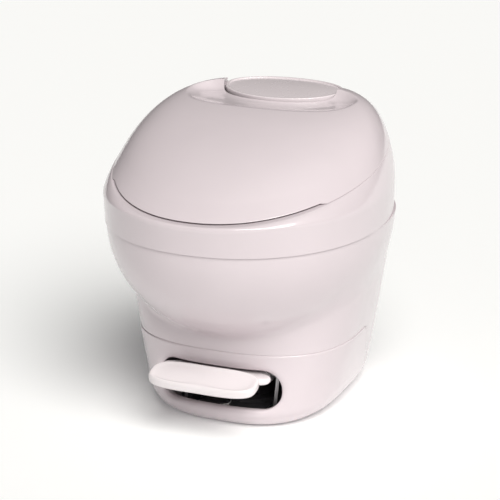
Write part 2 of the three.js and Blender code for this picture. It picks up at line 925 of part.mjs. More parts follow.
const pinHole = across(
  hingePinRadius + fitGap, hingePinInnerX - fitGap, formReach,
  hingeY, hingeHeight, roundSides,
);
const shroudHoles = shroudScrews.map((x) => along(screwRadius + fitGap, x, 0, formReach, shroudScrewHeight)
  .add(along(screwHeadRadius + fitGap, x, shroudScrewFaceY, formReach, shroudScrewHeight, roundSides)))
  .reduce((all, hole) => all.add(hole));
const shroud = shroudForm(0, 0).add(humpOuter.subtract(capPocket)).add(towerOuter)
  .subtract(shroudForm(shroudWall, -shroudWall, overrun))
  .subtract(humpInner.subtract(towerOuter))
  .subtract(towerInner)
  .add(wellTube)
  .add(bothSides(hingeBoss).intersect(bossRoom))
  .subtract(eggPrism(deckHole, 0, domeTop))
  .subtract(capPocket)
  .add(towerPlug)
  .subtract(bothSides(pinHole))
  .subtract(shroudHoles);
addPiece('shroud', shroud, finishes.gloss);

// Lid: domed skin with a trough before the hinge cover, a finger gap and hinge lugs at its rear
function troughForm(grow) {
  return loft(troughRiseShares.map((rise, level) => {
    const spread = troughSpreadShares[level];
    const height = troughFloorHeight + (troughCrestHeight - troughFloorHeight) * rise - grow;
    const half = troughFloorHalfLength + (troughHalfLength - troughFloorHalfLength) * spread;
    const frontY = troughFloorFrontY + (troughFrontY - troughFloorFrontY) * spread;
    const egg = {
      half,
      front: troughCentreY - frontY,
      rear: troughRearReach,
      centre: troughCentreY,
      power: troughPower,
    };
    return turns().map((turn) => eggPoint(egg, turn, height, grow));
  }));
}

const lidCutEgg = {
  half: capHalfLength + capGap,
  front: capReach + capGap + fitGap,
  rear: capRearReach,
  centre: capCentreY,
  power: capGapPower,
};
const lidRegion = block(at(-formReach, -formReach, 0), at(formReach, hingeY, domeTop + overrun))
  .add(across(knuckleRadius, -formReach, formReach, hingeY, hingeHeight, ringSides));
const capCutHalf = capHalfLength + capRearRoom;
const capCut = eggPrism(lidCutEgg, 0, domeTop + overrun)
  .add(block(at(-capCutHalf, capCentreY, 0), at(capCutHalf, formReach, domeTop + overrun)));
const lidInner = domeForm(lidWall, overrun);
const knuckleBore = across(
  knuckleRadius - lidWall, lidLugInnerX + lidLugWidth + lidWall, formReach,
  hingeY, hingeHeight, roundSides,
);
const lidLug = block(
  at(lidLugInnerX, hingeY - knuckleRadius, hingeHeight - knuckleRadius),
  at(lidLugInnerX + lidLugWidth, hingeY, domeTop + overrun),
);
const lidShelf = block(
  at(lidBumperX - lidShelfDepth, lidBumperY - lidShelfDepth, 0),
  at(rimHalfWidth, lidBumperY + lidShelfDepth, domeTop),
);
const shelfLow = partingGap + lidBumperHeight;
const armChannel = block(
  at(armHubInnerX - armChannelGap, armChannelFrontY, 0),
  at(armHubInnerX + armHubWidth + armChannelGap, armChannelRearY, domeTop),
).intersect(lidInner).subtract(troughForm(lidWall));
const fingerCut = block(at(-fingerGapHalfWidth, -formReach, 0), at(fingerGapHalfWidth, 0, domeTop))
  .intersect(belowParting(fingerGap));
const lidHollow = lidInner
  .intersect(
    block(
      at(-formReach, -formReach, 0),
      at(formReach, hingeY - lidWall, domeTop),
    ).add(bothSides(knuckleBore)),
  )
  .subtract(troughForm(lidWall))
  .subtract(bothSides(lidLug))
  .subtract(onParting(bothSides(lidShelf), shelfLow, shelfLow + lidShelfDepth));
const lid = domeForm(0, -partingGap).intersect(lidRegion)
  .subtract(troughForm(0))
  .subtract(lidHollow)
  .subtract(capCut)
  .subtract(bothSides(armChannel))
  .subtract(fingerCut)
  .subtract(
    bothSides(across(hingePinRadius + fitGap, 0, hingePinOuterX + fitGap, hingeY, hingeHeight, roundSides)),
  );
addPiece('lid', lid, finishes.gloss);

// Seat: a ring on its own slope, with an arm to each hinge pin
function seatForm(egg, levels, way) {
  return loft(levels.map(([rise, inward]) => turns().map((turn) => {
    const point = eggPoint(egg, turn, 0, -way * seatEdge * inward);
    point.z = partingHeight(point.y) + seatLift + seatThickness * rise;
    return point;
  })));
}

const seatEgg = {
  half: seatHalfWidth,
  front: seatCentreY - seatFrontY,
  rear: seatRearY - seatCentreY,
  centre: seatCentreY,
  power: seatPower,
};
const seatHoleEgg = {
  half: seatHoleHalfWidth,
  front: seatCentreY - seatHoleFrontY,
  rear: seatHoleRearY - seatCentreY,
  centre: seatCentreY,
  power: seatPower,
};
const seatArmRootHeight = partingHeight(seatArmRootY) + seatLift + seatThickness / 2;
const armOutline = belt(
  flat(seatArmRootY, seatArmRootHeight),
  seatArmDepth / 2,
  flat(hingeY, hingeHeight),
  armHubRadius,
);
const seatArm = sidePrism(armOutline, armHubInnerX, armHubInnerX + armHubWidth);
const seatPinHole = across(hingePinRadius + fitGap, 0, formReach, hingeY, hingeHeight, roundSides);
const seat = seatForm(seatEgg, seatOuterShares, 1)
  .subtract(seatForm(seatHoleEgg, seatHoleShares, -1))
  .add(bothSides(seatArm))
  .subtract(bothSides(seatPinHole));
addPiece('seat', seat, finishes.gloss);

const hands = [['left', -1], ['right', 1]];
for (const [hand, way] of hands) {
  for (const [place, x, y] of [['front', bumperFrontX, bumperFrontY], ['rear', bumperRearX, bumperRearY]]) {
    const rodSolid = upright(bumperRadius, way * x, y, 0, domeTop, smallSides);
    addPiece(
      `seat_bumper_${place}_${hand}`,
      onParting(rodSolid, fitGap, seatLift - fitGap),
      finishes.rubber,
    );
  }
  const bumper = upright(lidBumperRadius, way * lidBumperX, lidBumperY, 0, domeTop, smallSides);
  addPiece(`lid_bumper_${hand}`, onParting(bumper, fitGap, shelfLow - fitGap), finishes.rubber);
  const pin = across(hingePinRadius, Math.min(way * hingePinInnerX, way * hingePinOuterX),
    Math.max(way * hingePinInnerX, way * hingePinOuterX), hingeY, hingeHeight, roundSides);
  addPiece(`hinge_pin_${hand}`, pin, finishes.steel);
}

// Screws: a flat round head on a plain shank
function screwPiece(head, inward, length = screwLength) {
  const seatPoint = head.clone().addScaledVector(inward, screwHeadThickness);
  const end = seatPoint.clone().addScaledVector(inward, length);
  return rod(screwHeadRadius, head, seatPoint).add(rod(screwRadius, head, end));
}

for (const [hand, way] of hands) {
  const head = at(way * shroudScrewX, shroudScrewFaceY + fitGap + screwHeadThickness, shroudScrewHeight);
  addPiece(`shroud_screw_${hand}`, screwPiece(head, at(0, -1, 0)), finishes.steel);
}

// Heights of the stack between the outlet pipe and the bowl
const chamberFloorTop = chamberFloorHeight + chamberFloorThickness;
const bladeLow = chamberFloorTop + fitGap;
const sealLow = bladeLow + bladeThickness + fitGap;
const chamberLidLow = sealLow + sealThickness + fitGap;
const outletHeight = chamberLidLow + chamberLidThickness + fitGap;
const bladeSwing = THREE.MathUtils.degToRad(bladeSwingDegrees);
const chamberRadius = bladeRadius + chamberMargin;
const outletPlace = flat(0, outletY);
const shaftPlace = flat(bladeShaftX, outletY);
const openPlace = outletPlace.clone().rotateAround(shaftPlace, -bladeSwing);

// Bowl: a wide flange on the casing's rim and a funnel down to the round outlet
function bowlRing(height, grow) {
  const depth = THREE.MathUtils.clamp((bowlFlangeHeight + bowlFlangeThickness - height)
    / (bowlFlangeHeight + bowlFlangeThickness - outletHeight), 0, 1);
  const share = depth + bowlBelly * depth ** 2 * (1 - depth);
  const mix = (top, bottom) => top + (bottom - top) * share;
  const reach = mix((mouthRearY - mouthFrontY) / 2, outletRadius);
  const egg = {
    half: mix(mouthHalfWidth, outletRadius),
    front: reach,
    rear: reach,
    centre: mix((mouthRearY + mouthFrontY) / 2, outletY),
    power: eggPower,
  };
  return turns().map((turn) => eggPoint(egg, turn, height, grow));
}

const bowlTop = bowlFlangeHeight + bowlFlangeThickness;
const bowlHeights = bowlDepthShares.map(
  (share) => outletHeight + (bowlTop - outletHeight) * (1 - share),
).reverse();
const bowlOuter = loft(bowlHeights.map((height) => bowlRing(height, bowlWall)));
const bowlInner = loft(
  [outletHeight - overrun, ...bowlHeights, bowlTop + overrun].map((height) => bowlRing(height, 0)),
);
const nozzleWallY = Math.max(...bowlRing(nozzleHeight, 0).map((point) => point.y));
const screwTurns = Array.from(
  { length: bowlScrewCount },
  (_, index) => Math.PI / 2 + (index * 2 * Math.PI) / bowlScrewCount,
);
const bowlScrewPlaces = screwTurns.map(
  (turn) => flat(bowlScrewRing * Math.cos(turn), outletY + bowlScrewRing * Math.sin(turn)),
);
const bowlScrewHoles = bowlScrewPlaces
  .map(
    (place) => upright(
      screwRadius + fitGap,
      place.x,
      place.y,
      outletHeight - screwLength - overrun / 4,
      outletHeight + overrun,
    ),
  )
  .reduce((all, hole) => all.add(hole));
const bowl = bowlOuter.add(eggPrism(spigotEgg, bowlFlangeHeight, bowlTop))
  .add(
    upright(outletFlangeRadius, 0, outletY, outletHeight, outletHeight + outletFlangeThickness, ringSides),
  )
  .subtract(bowlInner)
  .subtract(upright(breakerRadius + runningGap, breakerX, breakerY, outletHeight, domeTop, roundSides))
  .subtract(along(nippleRadius + fitGap, 0, 0, formReach, nozzleHeight))
  .subtract(bowlScrewHoles);
addPiece('bowl', bowl, finishes.bowl);
bowlScrewPlaces.forEach((place, index) => {
  const head = at(place.x, place.y, outletHeight + outletFlangeThickness + fitGap + screwHeadThickness);
  addPiece(`bowl_screw_${index + 1}`, screwPiece(head, at(0, 0, -1)), finishes.steel);
});

const nozzleFace = nozzleWallY - partingGap;
const nozzle = along(nozzleReach, 0, nozzleFace - bowlWall, nozzleFace, nozzleHeight, roundSides)
  .add(along(nippleRadius, 0, nozzleFace - bowlWall, nozzleWallY + bowlWall + nozzleTail, nozzleHeight))
  .subtract(along(nippleBore, 0, nozzleFace - bowlWall / 2, formReach, nozzleHeight))
  .subtract(
    block(
      at(-nippleBore, nozzleFace - bowlWall - fitGap, nozzleHeight - nozzleReach),
      at(nippleBore, nozzleFace, nozzleHeight),
    ),
  );
addPiece('rim_nozzle', nozzle, finishes.acetal);

// Blade chamber: fan-shaped round the blade's shaft, over the outlet pipe
function chamberPrism(low, high, grow) {
  const sweepSteps = Array.from(
    { length: smallSides + 1 },
    (_, step) => Math.PI - (bladeSwing * step) / smallSides,
  );
  const reach = bladeShaftX + chamberRadius + grow;
  const fan = [
    shaftPlace,
    ...sweepSteps.map(
      (turn) => flat(shaftPlace.x + reach * Math.cos(turn), shaftPlace.y + reach * Math.sin(turn)),
    ),
  ];
  const hub = bladeHubRadius + chamberMargin + grow;
  return prism(fan, low, high)
    .add(prism(belt(outletPlace, chamberRadius + grow, shaftPlace, hub, roundSides), low, high))
    .add(prism(belt(openPlace, chamberRadius + grow, shaftPlace, hub, roundSides), low, high));
}

const shaftHole = (low, high) => upright(
  bladeShaftRadius + fitGap, shaftPlace.x, shaftPlace.y,
  low, high, roundSides,
);
const pipeLow = basePlateThickness + fitGap;
const pipeOuter = upright(outletRadius + pipeWall, 0, outletY, pipeLow, chamberFloorTop, ringSides);
const shaftLow = chamberFloorHeight - bossDepth + fitGap + pipeWall / 2;
const outletHousing = pipeOuter
  .add(upright(pipeFlangeRadius, 0, outletY, pipeLow, pipeLow + pipeFlangeThickness, ringSides))
  .add(chamberPrism(chamberFloorHeight, chamberLidLow - fitGap, chamberWall))
  .subtract(chamberPrism(chamberFloorTop, domeTop, 0))
  .add(
    upright(
      bladeHubRadius + chamberMargin,
      shaftPlace.x,
      shaftPlace.y,
      chamberFloorHeight - bossDepth,
      chamberFloorTop,
      roundSides,
    ),
  )
  .subtract(upright(outletRadius, 0, outletY, 0, domeTop, ringSides))
  .subtract(shaftHole(shaftLow - fitGap, domeTop))
  .subtract(bowlScrewHoles);
addPiece('outlet_housing', outletHousing, finishes.frame);

const rackLow = pedalShaftHeight + crankLength - rackHeight / 2;
const pinionLow = rackLow + (rackHeight - pinionThickness) / 2;
const chamberLid = chamberPrism(chamberLidLow, chamberLidLow + chamberLidThickness, chamberWall)
  .add(upright(bossRadius, shaftPlace.x, shaftPlace.y, chamberLidLow, pinionLow - runningGap, roundSides))
  .subtract(upright(outletRadius, 0, outletY, 0, domeTop, ringSides))
  .subtract(shaftHole(0, domeTop))
  .subtract(bowlScrewHoles);
addPiece('chamber_lid', chamberLid, finishes.frame);
addPiece('blade_seal', upright(
  bladeRadius - fitGap, 0, outletY,
  sealLow, sealLow + sealThickness, ringSides,
)
  .subtract(upright(outletRadius - sealThickness, 0, outletY, 0, domeTop, ringSides)), finishes.rubber);

// Blade, its shaft and the toothed wheel that the rack turns
const blade = prism(
  belt(outletPlace, bladeRadius, shaftPlace, bladeHubRadius, roundSides),
  bladeLow,
  bladeLow + bladeThickness,
)
  .subtract(shaftHole(0, domeTop));
addPiece('blade', blade, finishes.steel);
const pedalSwing = THREE.MathUtils.degToRad(pedalTravelDegrees);
const rackTravel = 2 * crankLength * Math.sin(pedalSwing / 2);
const pitchRadius = rackTravel / bladeSwing;
const toothModule = (2 * pitchRadius) / pinionTeeth;
const toothPitch = Math.PI * toothModule;
const toothHalf = (toothPitch / 4) * (1 - toothBacklashShare);
const toothTip = toothModule * toothAddendumShare;
const toothRoot = toothModule * toothDedendumShare;
addPiece(
  'blade_shaft',
  upright(
    bladeShaftRadius,
    shaftPlace.x,
    shaftPlace.y,
    shaftLow,
    pinionLow + pinionThickness + toothTip,
    roundSides,
  ),
  finishes.steel,
);

function pinionPoint(radius, tooth, halfWidth) {
  const turn = ((tooth + 1 / 2) / pinionTeeth) * Math.PI * 2 + halfWidth / radius;
  return flat(shaftPlace.x + radius * Math.cos(turn), shaftPlace.y + radius * Math.sin(turn));
}

const flankSlope = Math.tan(pressureAngle);
const tipHalf = toothHalf - toothTip * flankSlope;
const rootHalf = toothHalf + toothRoot * flankSlope;
const pinionOutline = Array.from({ length: pinionTeeth }, (_, tooth) => [
  pinionPoint(pitchRadius - toothRoot, tooth, -rootHalf),
  pinionPoint(pitchRadius, tooth, -toothHalf),
  pinionPoint(pitchRadius + toothTip, tooth, -tipHalf),
  pinionPoint(pitchRadius + toothTip, tooth, tipHalf),
  pinionPoint(pitchRadius, tooth, toothHalf),
  pinionPoint(pitchRadius - toothRoot, tooth, rootHalf),
]).flat();
const pinion = prism(pinionOutline, pinionLow, pinionLow + pinionThickness)
  .subtract(shaftHole(0, domeTop));
addPiece('blade_pinion', pinion, finishes.acetal);

// Rack: teeth towards the wheel, a fork for the crank's pin and a ramp for the valve
const rackPitchX = shaftPlace.x + pitchRadius;
const rackRootX = rackPitchX + toothRoot;
const pinRest = flat(
  pedalShaftY + crankLength * Math.sin(pedalSwing / 2),
  pedalShaftHeight + crankLength * Math.cos(pedalSwing / 2),
);
const forkGap = crankPinRadius + fitGap;
const forkFrontY = pinRest.x - forkGap - yokeWall;
const rampRearX = rackOuterX + plungerTravel;
const rackBar = prism([
  flat(rackRootX, forkFrontY),
  flat(rackOuterX, forkFrontY),
  flat(rackOuterX, valveY),
  flat(rampRearX, valveY + rackTravel),
  flat(rampRearX, rackRearY),
  flat(rackRootX, rackRearY),
], rackLow, rackLow + rackHeight);
const rackTeethSolid = Array.from({ length: rackTeeth }, (_, index) => {
  const y = outletY + (index - 1) * toothPitch;
  return prism([
    flat(rackRootX + fitGap, y - rootHalf),
    flat(rackRootX + fitGap, y + rootHalf),
    flat(rackPitchX - toothTip, y + tipHalf),
    flat(rackPitchX - toothTip, y - tipHalf),
  ], rackLow, rackLow + rackHeight);
}).reduce((all, tooth) => all.add(tooth));
const fork = block(
  at(rackRootX, forkFrontY, rackLow - yokeDrop),
  at(rackOuterX, pinRest.x + forkGap + yokeWall, rackLow + rackHeight + yokeRise),
);
const forkSlot = block(
  at(0, pinRest.x - forkGap, pinRest.y - crankPinRadius - runningGap),
  at(formReach, pinRest.x + forkGap, domeTop),
);
addPiece('rack_slide', rackBar.add(rackTeethSolid).add(fork).subtract(forkSlot), finishes.acetal);

// Guide post beside the chamber: it carries the rack and, on a shelf, the water valve
const guideLow = rackLow - fitGap - guideFloorThickness;
const valveLow = rackLow + rackHeight / 2 - valveHeight / 2;
const shelfTop = valveLow - fitGap;
const postLow = basePlateThickness + fitGap;
const guide = block(
  at(guidePostX, guidePostFrontY, postLow),
  at(guidePostX + guidePostThickness, guidePostRearY, rackLow - fitGap),
)
  .add(
    block(
      at(guideInnerX, guideFrontY, guideLow),
      at(guidePostX + guidePostThickness, guideRearY, rackLow - fitGap),
    ),
  )
  .add(
    block(
      at(rampRearX + runningGap, guideFrontY, guideLow),
      at(guidePostX + guidePostThickness, guideWallRearY, rackLow + guideWallHeight),
    ),
  )
  .add(
    block(
      at(guidePostX, guidePostFrontY, shelfTop - shelfThickness),
      at(valveFaceX, guidePostRearY, shelfTop),
    ),
  )
  .add(block(at(guidePostX + guidePostThickness, guidePostFrontY, shelfTop - shelfThickness),
    at(valveFaceX + valveLength, valveY + valveWidth / 2, shelfTop)))
  .add(
    block(
      at(guidePostX, guidePostFrontY, postLow),
      at(guidePostX + 2 * guidePostThickness, guidePostRearY, postLow + bracketFootThickness),
    ),
  );
addPiece('rack_guide', guide, finishes.frame);

// Pedal shaft and brackets
const shaftRoom = across(
  pedalShaftRadius + fitGap, -formReach, formReach,
  pedalShaftY, pedalShaftHeight, roundSides,
);
const crankX = rackOuterX + crankGap;
addPiece(
  'pedal_shaft',
  across(
    pedalShaftRadius, pedalShaftLeftX, crankX + crankThickness,
    pedalShaftY, pedalShaftHeight, roundSides,
  ),
  finishes.steel,
);
const pedalPivot = flat(pedalShaftY, pedalShaftHeight);
const crank = sidePrism(
  belt(pedalPivot, crankHubRadius, pinRest, crankTipRadius),
  crankX,
  crankX + crankThickness,
)
  .subtract(shaftRoom)
  .add(across(crankPinRadius, pinEndX, crankX + crankThickness / 2, pinRest.x, pinRest.y));
addPiece('pedal_crank', crank, finishes.steel);
const bracketFootBlock = block(
  at(bracketX - bracketThickness / 2 - bracketFoot, bracketFrontY, postLow),
  at(bracketX, bracketRearY, postLow + bracketFootThickness),
);
const bracketOutline = [
  flat(bracketFrontY, postLow),
  flat(bracketRearY, postLow),
  flat(pedalShaftY + bracketHeadRadius, pedalShaftHeight),
  flat(pedalShaftY + bracketHeadRadius / 2, pedalShaftHeight + bracketHeadRadius),
  flat(pedalShaftY - bracketHeadRadius / 2, pedalShaftHeight + bracketHeadRadius),
  flat(pedalShaftY - bracketHeadRadius, pedalShaftHeight),
];
const bracket = sidePrism(bracketOutline, bracketX - bracketThickness / 2, bracketX + bracketThickness / 2)
  .add(bracketFootBlock)
  .subtract(shaftRoom);
addPiece('pedal_bracket_right', bracket, finishes.steel);
addPiece('pedal_bracket_left', mirrored(bracket), finishes.steel);

// Lever plate: through the slot, with arms back to the shaft and a tongue out under the pad
function padTop(y) {
  return padTopHeight + padSlopeShare * (y - (padFrontY + padRearY) / 2);
}

const leverTop = leverSlotHeight + leverThickness;
const tongueTop = (y) => padTop(y) - padSkin - fitGap;
const tongueRearY = leverFrontY + leverThickness;
const tongue = sidePrism([
  flat(tongueFrontY, tongueTop(tongueFrontY) - tongueThickness),
  flat(tongueRearY, leverSlotHeight),
  flat(tongueRearY, leverTop),
  flat(padRearY, Math.min(tongueTop(padRearY), leverTop)),
  flat(tongueFrontY, tongueTop(tongueFrontY)),
], -tongueHalfWidth, tongueHalfWidth);
const leverArm = sidePrism([
  flat(leverRearY - leverThickness, leverSlotHeight),
  flat(pedalShaftY - leverHubRadius, pedalShaftHeight),
  flat(pedalShaftY + leverHubRadius, pedalShaftHeight),
  flat(leverRearY, leverTop),
  flat(leverRearY - leverThickness, leverTop),
], leverArmX - leverArmWidth / 2, leverArmX + leverArmWidth / 2)
  .add(
    across(
      leverHubRadius,
      leverArmX - leverArmWidth / 2,
      leverArmX + leverArmWidth / 2,
      pedalShaftY,
      pedalShaftHeight,
      roundSides,
    ),
  );
const lever = block(
  at(-leverHalfWidth, leverFrontY, leverSlotHeight),
  at(leverHalfWidth, leverRearY, leverTop),
)
  .add(tongue)
  .add(bothSides(leverArm))
  .subtract(shaftRoom);
addPiece('pedal_lever', lever, finishes.gloss);

// Pedal pad: a dished top with soft edges, hollow below for the tongue
const padEgg = {
  half: padHalfLength,
  front: (padRearY - padFrontY) / 2,
  rear: (padRearY - padFrontY) / 2,
  centre: (padRearY + padFrontY) / 2,
  power: padPower,
};
const padRing = (lift, grow) => turns().map((turn) => {
  const point = eggPoint(padEgg, turn, 0, grow);
  point.z = padTop(point.y) + lift;
  return point;
});
const padUnder = sidePrism([
  flat(padFrontY + padSkin, 0),
  flat(0, 0),
  flat(0, padTop(0) - padSkin),
  flat(padFrontY + padSkin, padTop(padFrontY + padSkin) - padSkin),
], -tongueHalfWidth - runningGap, tongueHalfWidth + runningGap);
const padRearTrim = block(
  at(-formReach, padRearY - padThickness, 0),
  at(formReach, 0, padTop(padRearY) - padThickness),
);
const pad = loft([
  padRing(-padFrontWall, -padEdge / 2),
  padRing(-padFrontWall + padEdge / 2, 0),
  padRing(-padEdge, 0),
  padRing(-padEdge / 4, -padEdge / 4),
  padRing(0, -padEdge),
  padRing(-padDish / 2, -padEdge * 2),
  padRing(-padDish, -padEdge * 4),
]).subtract(padUnder).subtract(padRearTrim.intersect(padUnder));
addPiece('pedal_pad', pad, finishes.gloss);

// Return spring between the base plate and the lever plate, round its seat's post
const springLow = postLow + springSeatThickness + fitGap + springWireRadius;
const springHigh = leverSlotHeight - fitGap - springWireRadius;
const springPoints = Array.from({ length: springTurns * springSteps + 1 }, (_, step) => {
  const turn = (step / springSteps) * Math.PI * 2;
  const height = springLow + ((springHigh - springLow) * step) / (springTurns * springSteps);
  return at(springRadius * Math.cos(turn), springY + springRadius * Math.sin(turn), height);
});
addPiece('return_spring', cord(springPoints, springWireRadius, springSides), finishes.steel);
addPiece('spring_seat', upright(
  springSeatRadius, 0, springY,
  postLow, postLow + springSeatThickness, roundSides,
)
  .add(upright(springPostRadius, 0, springY, postLow, postLow + springPostHeight)), finishes.acetal);

// Base plate with the floor seal under the pipe's flange, and the closet bolts
const plateRing = (height) => turns().map((turn) => {
  const reach = casingReach(turn, 0, casingWall) - fitGap;
  return at(reach * Math.sin(turn), -reach * Math.cos(turn), height);
});
const boltX = boltSpacing / 2;
const boltHole = upright(boltRadius + fitGap, boltX, outletY, 0, overrun);
const basePlate = loft([plateRing(0), plateRing(basePlateThickness)])
  .subtract(upright(pipeHoleRadius, 0, outletY, 0, overrun, ringSides))
  .subtract(bothSides(boltHole));
addPiece('base_plate', basePlate, finishes.frame);
addPiece('floor_seal', upright(pipeHoleRadius - fitGap, 0, outletY, 0, basePlateThickness, ringSides)
  .subtract(upright(outletRadius, 0, outletY, 0, overrun, ringSides)), finishes.rubber);
for (const [hand, way] of hands) {
  const x = way * boltX;
  const washerTop = postLow + washerThickness;
  const nutLow = washerTop + fitGap;
  const room = upright(boltRadius + fitGap, x, outletY, 0, domeTop);
  addPiece(`closet_bolt_${hand}`, upright(boltRadius, x, outletY, fitGap, boltHeight), finishes.brass);
  addPiece(
    `closet_washer_${hand}`,
    upright(washerRadius, x, outletY, postLow, washerTop, roundSides).subtract(room),
    finishes.steel,
  );
  addPiece(
    `closet_nut_${hand}`,
    upright(nutRadius, x, outletY, nutLow, nutLow + nutThickness, nutSides).subtract(room),
    finishes.brass,
  );
}

// Water valve on its shelf, with the plunger that the rack's ramp presses
const valveMid = rackLow + rackHeight / 2;
const valveX = valveFaceX + valveLength / 2;
const valveRearY = valveY + valveWidth / 2;
const plungerTip = rackOuterX + (plungerTravel / rackTravel) * plungerRadius + 2 * fitGap;
const plungerEnd = valveFaceX + plungerDepth;
const valve = block(
  at(valveFaceX, valveY - valveWidth / 2, valveLow),
  at(valveFaceX + valveLength, valveRearY, valveLow + valveHeight),
)
  .add(
    upright(
      nippleRadius,
      valveX,
      valveY,
      valveLow + valveHeight - fitGap,
      valveLow + valveHeight + nippleLength,
    ),
  )
  .add(along(nippleRadius, valveX, valveRearY - fitGap, valveRearY + nippleLength, valveMid))
  .subtract(upright(nippleBore, valveX, valveY, valveMid, domeTop))
  .subtract(along(nippleBore, valveX, valveY, formReach, valveMid))
  .subtract(across(plungerRadius + fitGap, 0, plungerEnd + plungerTravel + fitGap, valveY, valveMid));
addPiece('water_valve', valve, finishes.acetal);
addPiece('valve_plunger', across(plungerRadius, plungerTip, plungerEnd, valveY, valveMid), finishes.steel);

// Inlet fitting through the casing's rear, and its swivel nut
const flangeY = inletFaceY + fitGap;
const tailY = inletFaceY - inletPadThickness - inletTail;
const spoutY = flangeY + inletFlangeThickness + inletSpout;
const inlet = along(
  inletFlangeRadius, inletX, flangeY,
  flangeY + inletFlangeThickness, inletHeight, roundSides,
)
  .add(along(inletRadius, inletX, inletFaceY - inletPadThickness - nutLength, spoutY, inletHeight))
  .add(along(nippleRadius, inletX, tailY, inletFaceY, inletHeight))
  .subtract(along(nippleBore, inletX, 0, formReach, inletHeight));
addPiece('inlet_fitting', inlet, finishes.brass);
const nutY = flangeY + inletFlangeThickness + runningGap;
addPiece('inlet_nut', along(nutAcross, inletX, nutY, nutY + nutLength, inletHeight, nutSides)
  .subtract(
    along(inletRadius + runningGap, inletX, 0, formReach, inletHeight, roundSides),
  ), finishes.brass);

// Vacuum breaker: inlet below, outlet at its side, a float over the vent seat
const breakerHigh = breakerSeatHeight + floatThickness + floatTravel + 2 * fitGap;
const breakerBore = breakerRadius - breakerWall;
const breaker = upright(breakerRadius, breakerX, breakerY, breakerLow, breakerHigh, roundSides)
  .add(
    upright(
      breakerCollarRadius,
      breakerX,
      breakerY,
      bowlTop + fitGap,
      bowlTop + fitGap + breakerCollarThickness,
      roundSides,
    ),
  )
  .add(upright(nippleRadius, breakerX, breakerY, breakerLow - nippleLength, breakerLow + fitGap))
  .add(
    across(
      nippleRadius,
      breakerX - breakerRadius - nippleLength,
      breakerX - breakerBore,
      breakerY,
      breakerOutletHeight,
    ),
  )
  .subtract(
    upright(
      breakerBore,
      breakerX,
      breakerY,
      breakerLow + breakerWall,
      breakerSeatHeight - breakerWall,
      roundSides,
    ),
  )
  .subtract(upright(breakerSeatRadius, breakerX, breakerY, breakerLow + breakerWall, domeTop, roundSides))
  .subtract(upright(breakerBore, breakerX, breakerY, breakerSeatHeight, domeTop, roundSides))
  .subtract(upright(nippleBore, breakerX, breakerY, 0, breakerLow + 2 * breakerWall))
  .subtract(across(nippleBore, 0, breakerX, breakerY, breakerOutletHeight));
addPiece('vacuum_breaker', breaker, finishes.acetal);
addPiece('vacuum_float', upright(breakerBore - runningGap, breakerX, breakerY, breakerSeatHeight + fitGap,
  breakerSeatHeight + fitGap + floatThickness, roundSides), finishes.rubber);
addPiece('vacuum_breaker_cap', upright(
  breakerRadius,
  breakerX,
  breakerY,
  breakerHigh + fitGap,
  breakerHigh + fitGap + breakerCapThickness,
  roundSides,
)
  .subtract(upright(breakerVentRadius, breakerX, breakerY, 0, domeTop)), finishes.acetal);

// Hoses over the nipples, with a clamp at each end of the two risers
const hoseEnd = nippleLength - runningGap;
function hose(name, from, fromWay, to, toWay, reach) {
  const first = from.clone().addScaledVector(fromWay, hoseEnd);
  const last = to.clone().addScaledVector(toWay, hoseEnd);
  const bend = new THREE.CubicBezierCurve3(
    first,
    first.clone().addScaledVector(fromWay, reach),
    last.clone().addScaledVector(toWay, reach),
    last,
  );
  const points = [from, ...bend.getPoints(hoseSteps), to];
  const bore = cord(points, nippleRadius + fitGap, smallSides, hoseEnd);
  addPiece(name, cord(points, hoseRadius, smallSides).subtract(bore), finishes.rubber);
}

function clamp(name, centre, direction) {
  const half = direction.clone().multiplyScalar(clampWidth / 2);
  const from = centre.clone().sub(half);
  const to = centre.clone().add(half);
  const bore = direction.clone().multiplyScalar(clampWidth);
  addPiece(name, rod(hoseRadius + fitGap + clampWall, from, to)
    .subtract(rod(hoseRadius + fitGap, from.clone().sub(bore), to.clone().add(bore))), finishes.steel);
}

const valveNippleTop = at(valveX, valveY, valveLow + valveHeight + runningGap);
const breakerNippleEnd = at(breakerX, breakerY, breakerLow - runningGap);
const sideNippleEnd = at(breakerX - breakerRadius - runningGap, breakerY, breakerOutletHeight);
const nozzleEnd = at(0, nozzleWallY + bowlWall + runningGap, nozzleHeight);
const valveNippleRear = at(valveX, valveRearY + runningGap, valveMid);
const inletTailEnd = at(inletX, tailY + nippleLength, inletHeight);
hose('riser_hose', valveNippleTop, at(0, 0, 1), breakerNippleEnd, at(0, 0, -1), riserReach);
hose('rinse_hose', sideNippleEnd, at(-1, 0, 0), nozzleEnd, at(0, 1, 0), rinseReach);
hose('supply_tube', inletTailEnd, at(0, -1, 0), valveNippleRear, at(0, 1, 0), supplyReach);
clamp('hose_clamp_valve', valveNippleTop.clone().add(at(0, 0, hoseEnd / 2)), at(0, 0, 1));
clamp('hose_clamp_breaker', breakerNippleEnd.clone().sub(at(0, 0, hoseEnd / 2)), at(0, 0, 1));
clamp('hose_clamp_side', sideNippleEnd.clone().sub(at(hoseEnd / 2, 0, 0)), at(1, 0, 0));
clamp('hose_clamp_nozzle', nozzleEnd.clone().add(at(0, hoseEnd / 2, 0)), at(0, 1, 0));

export default toilet;
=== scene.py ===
import math

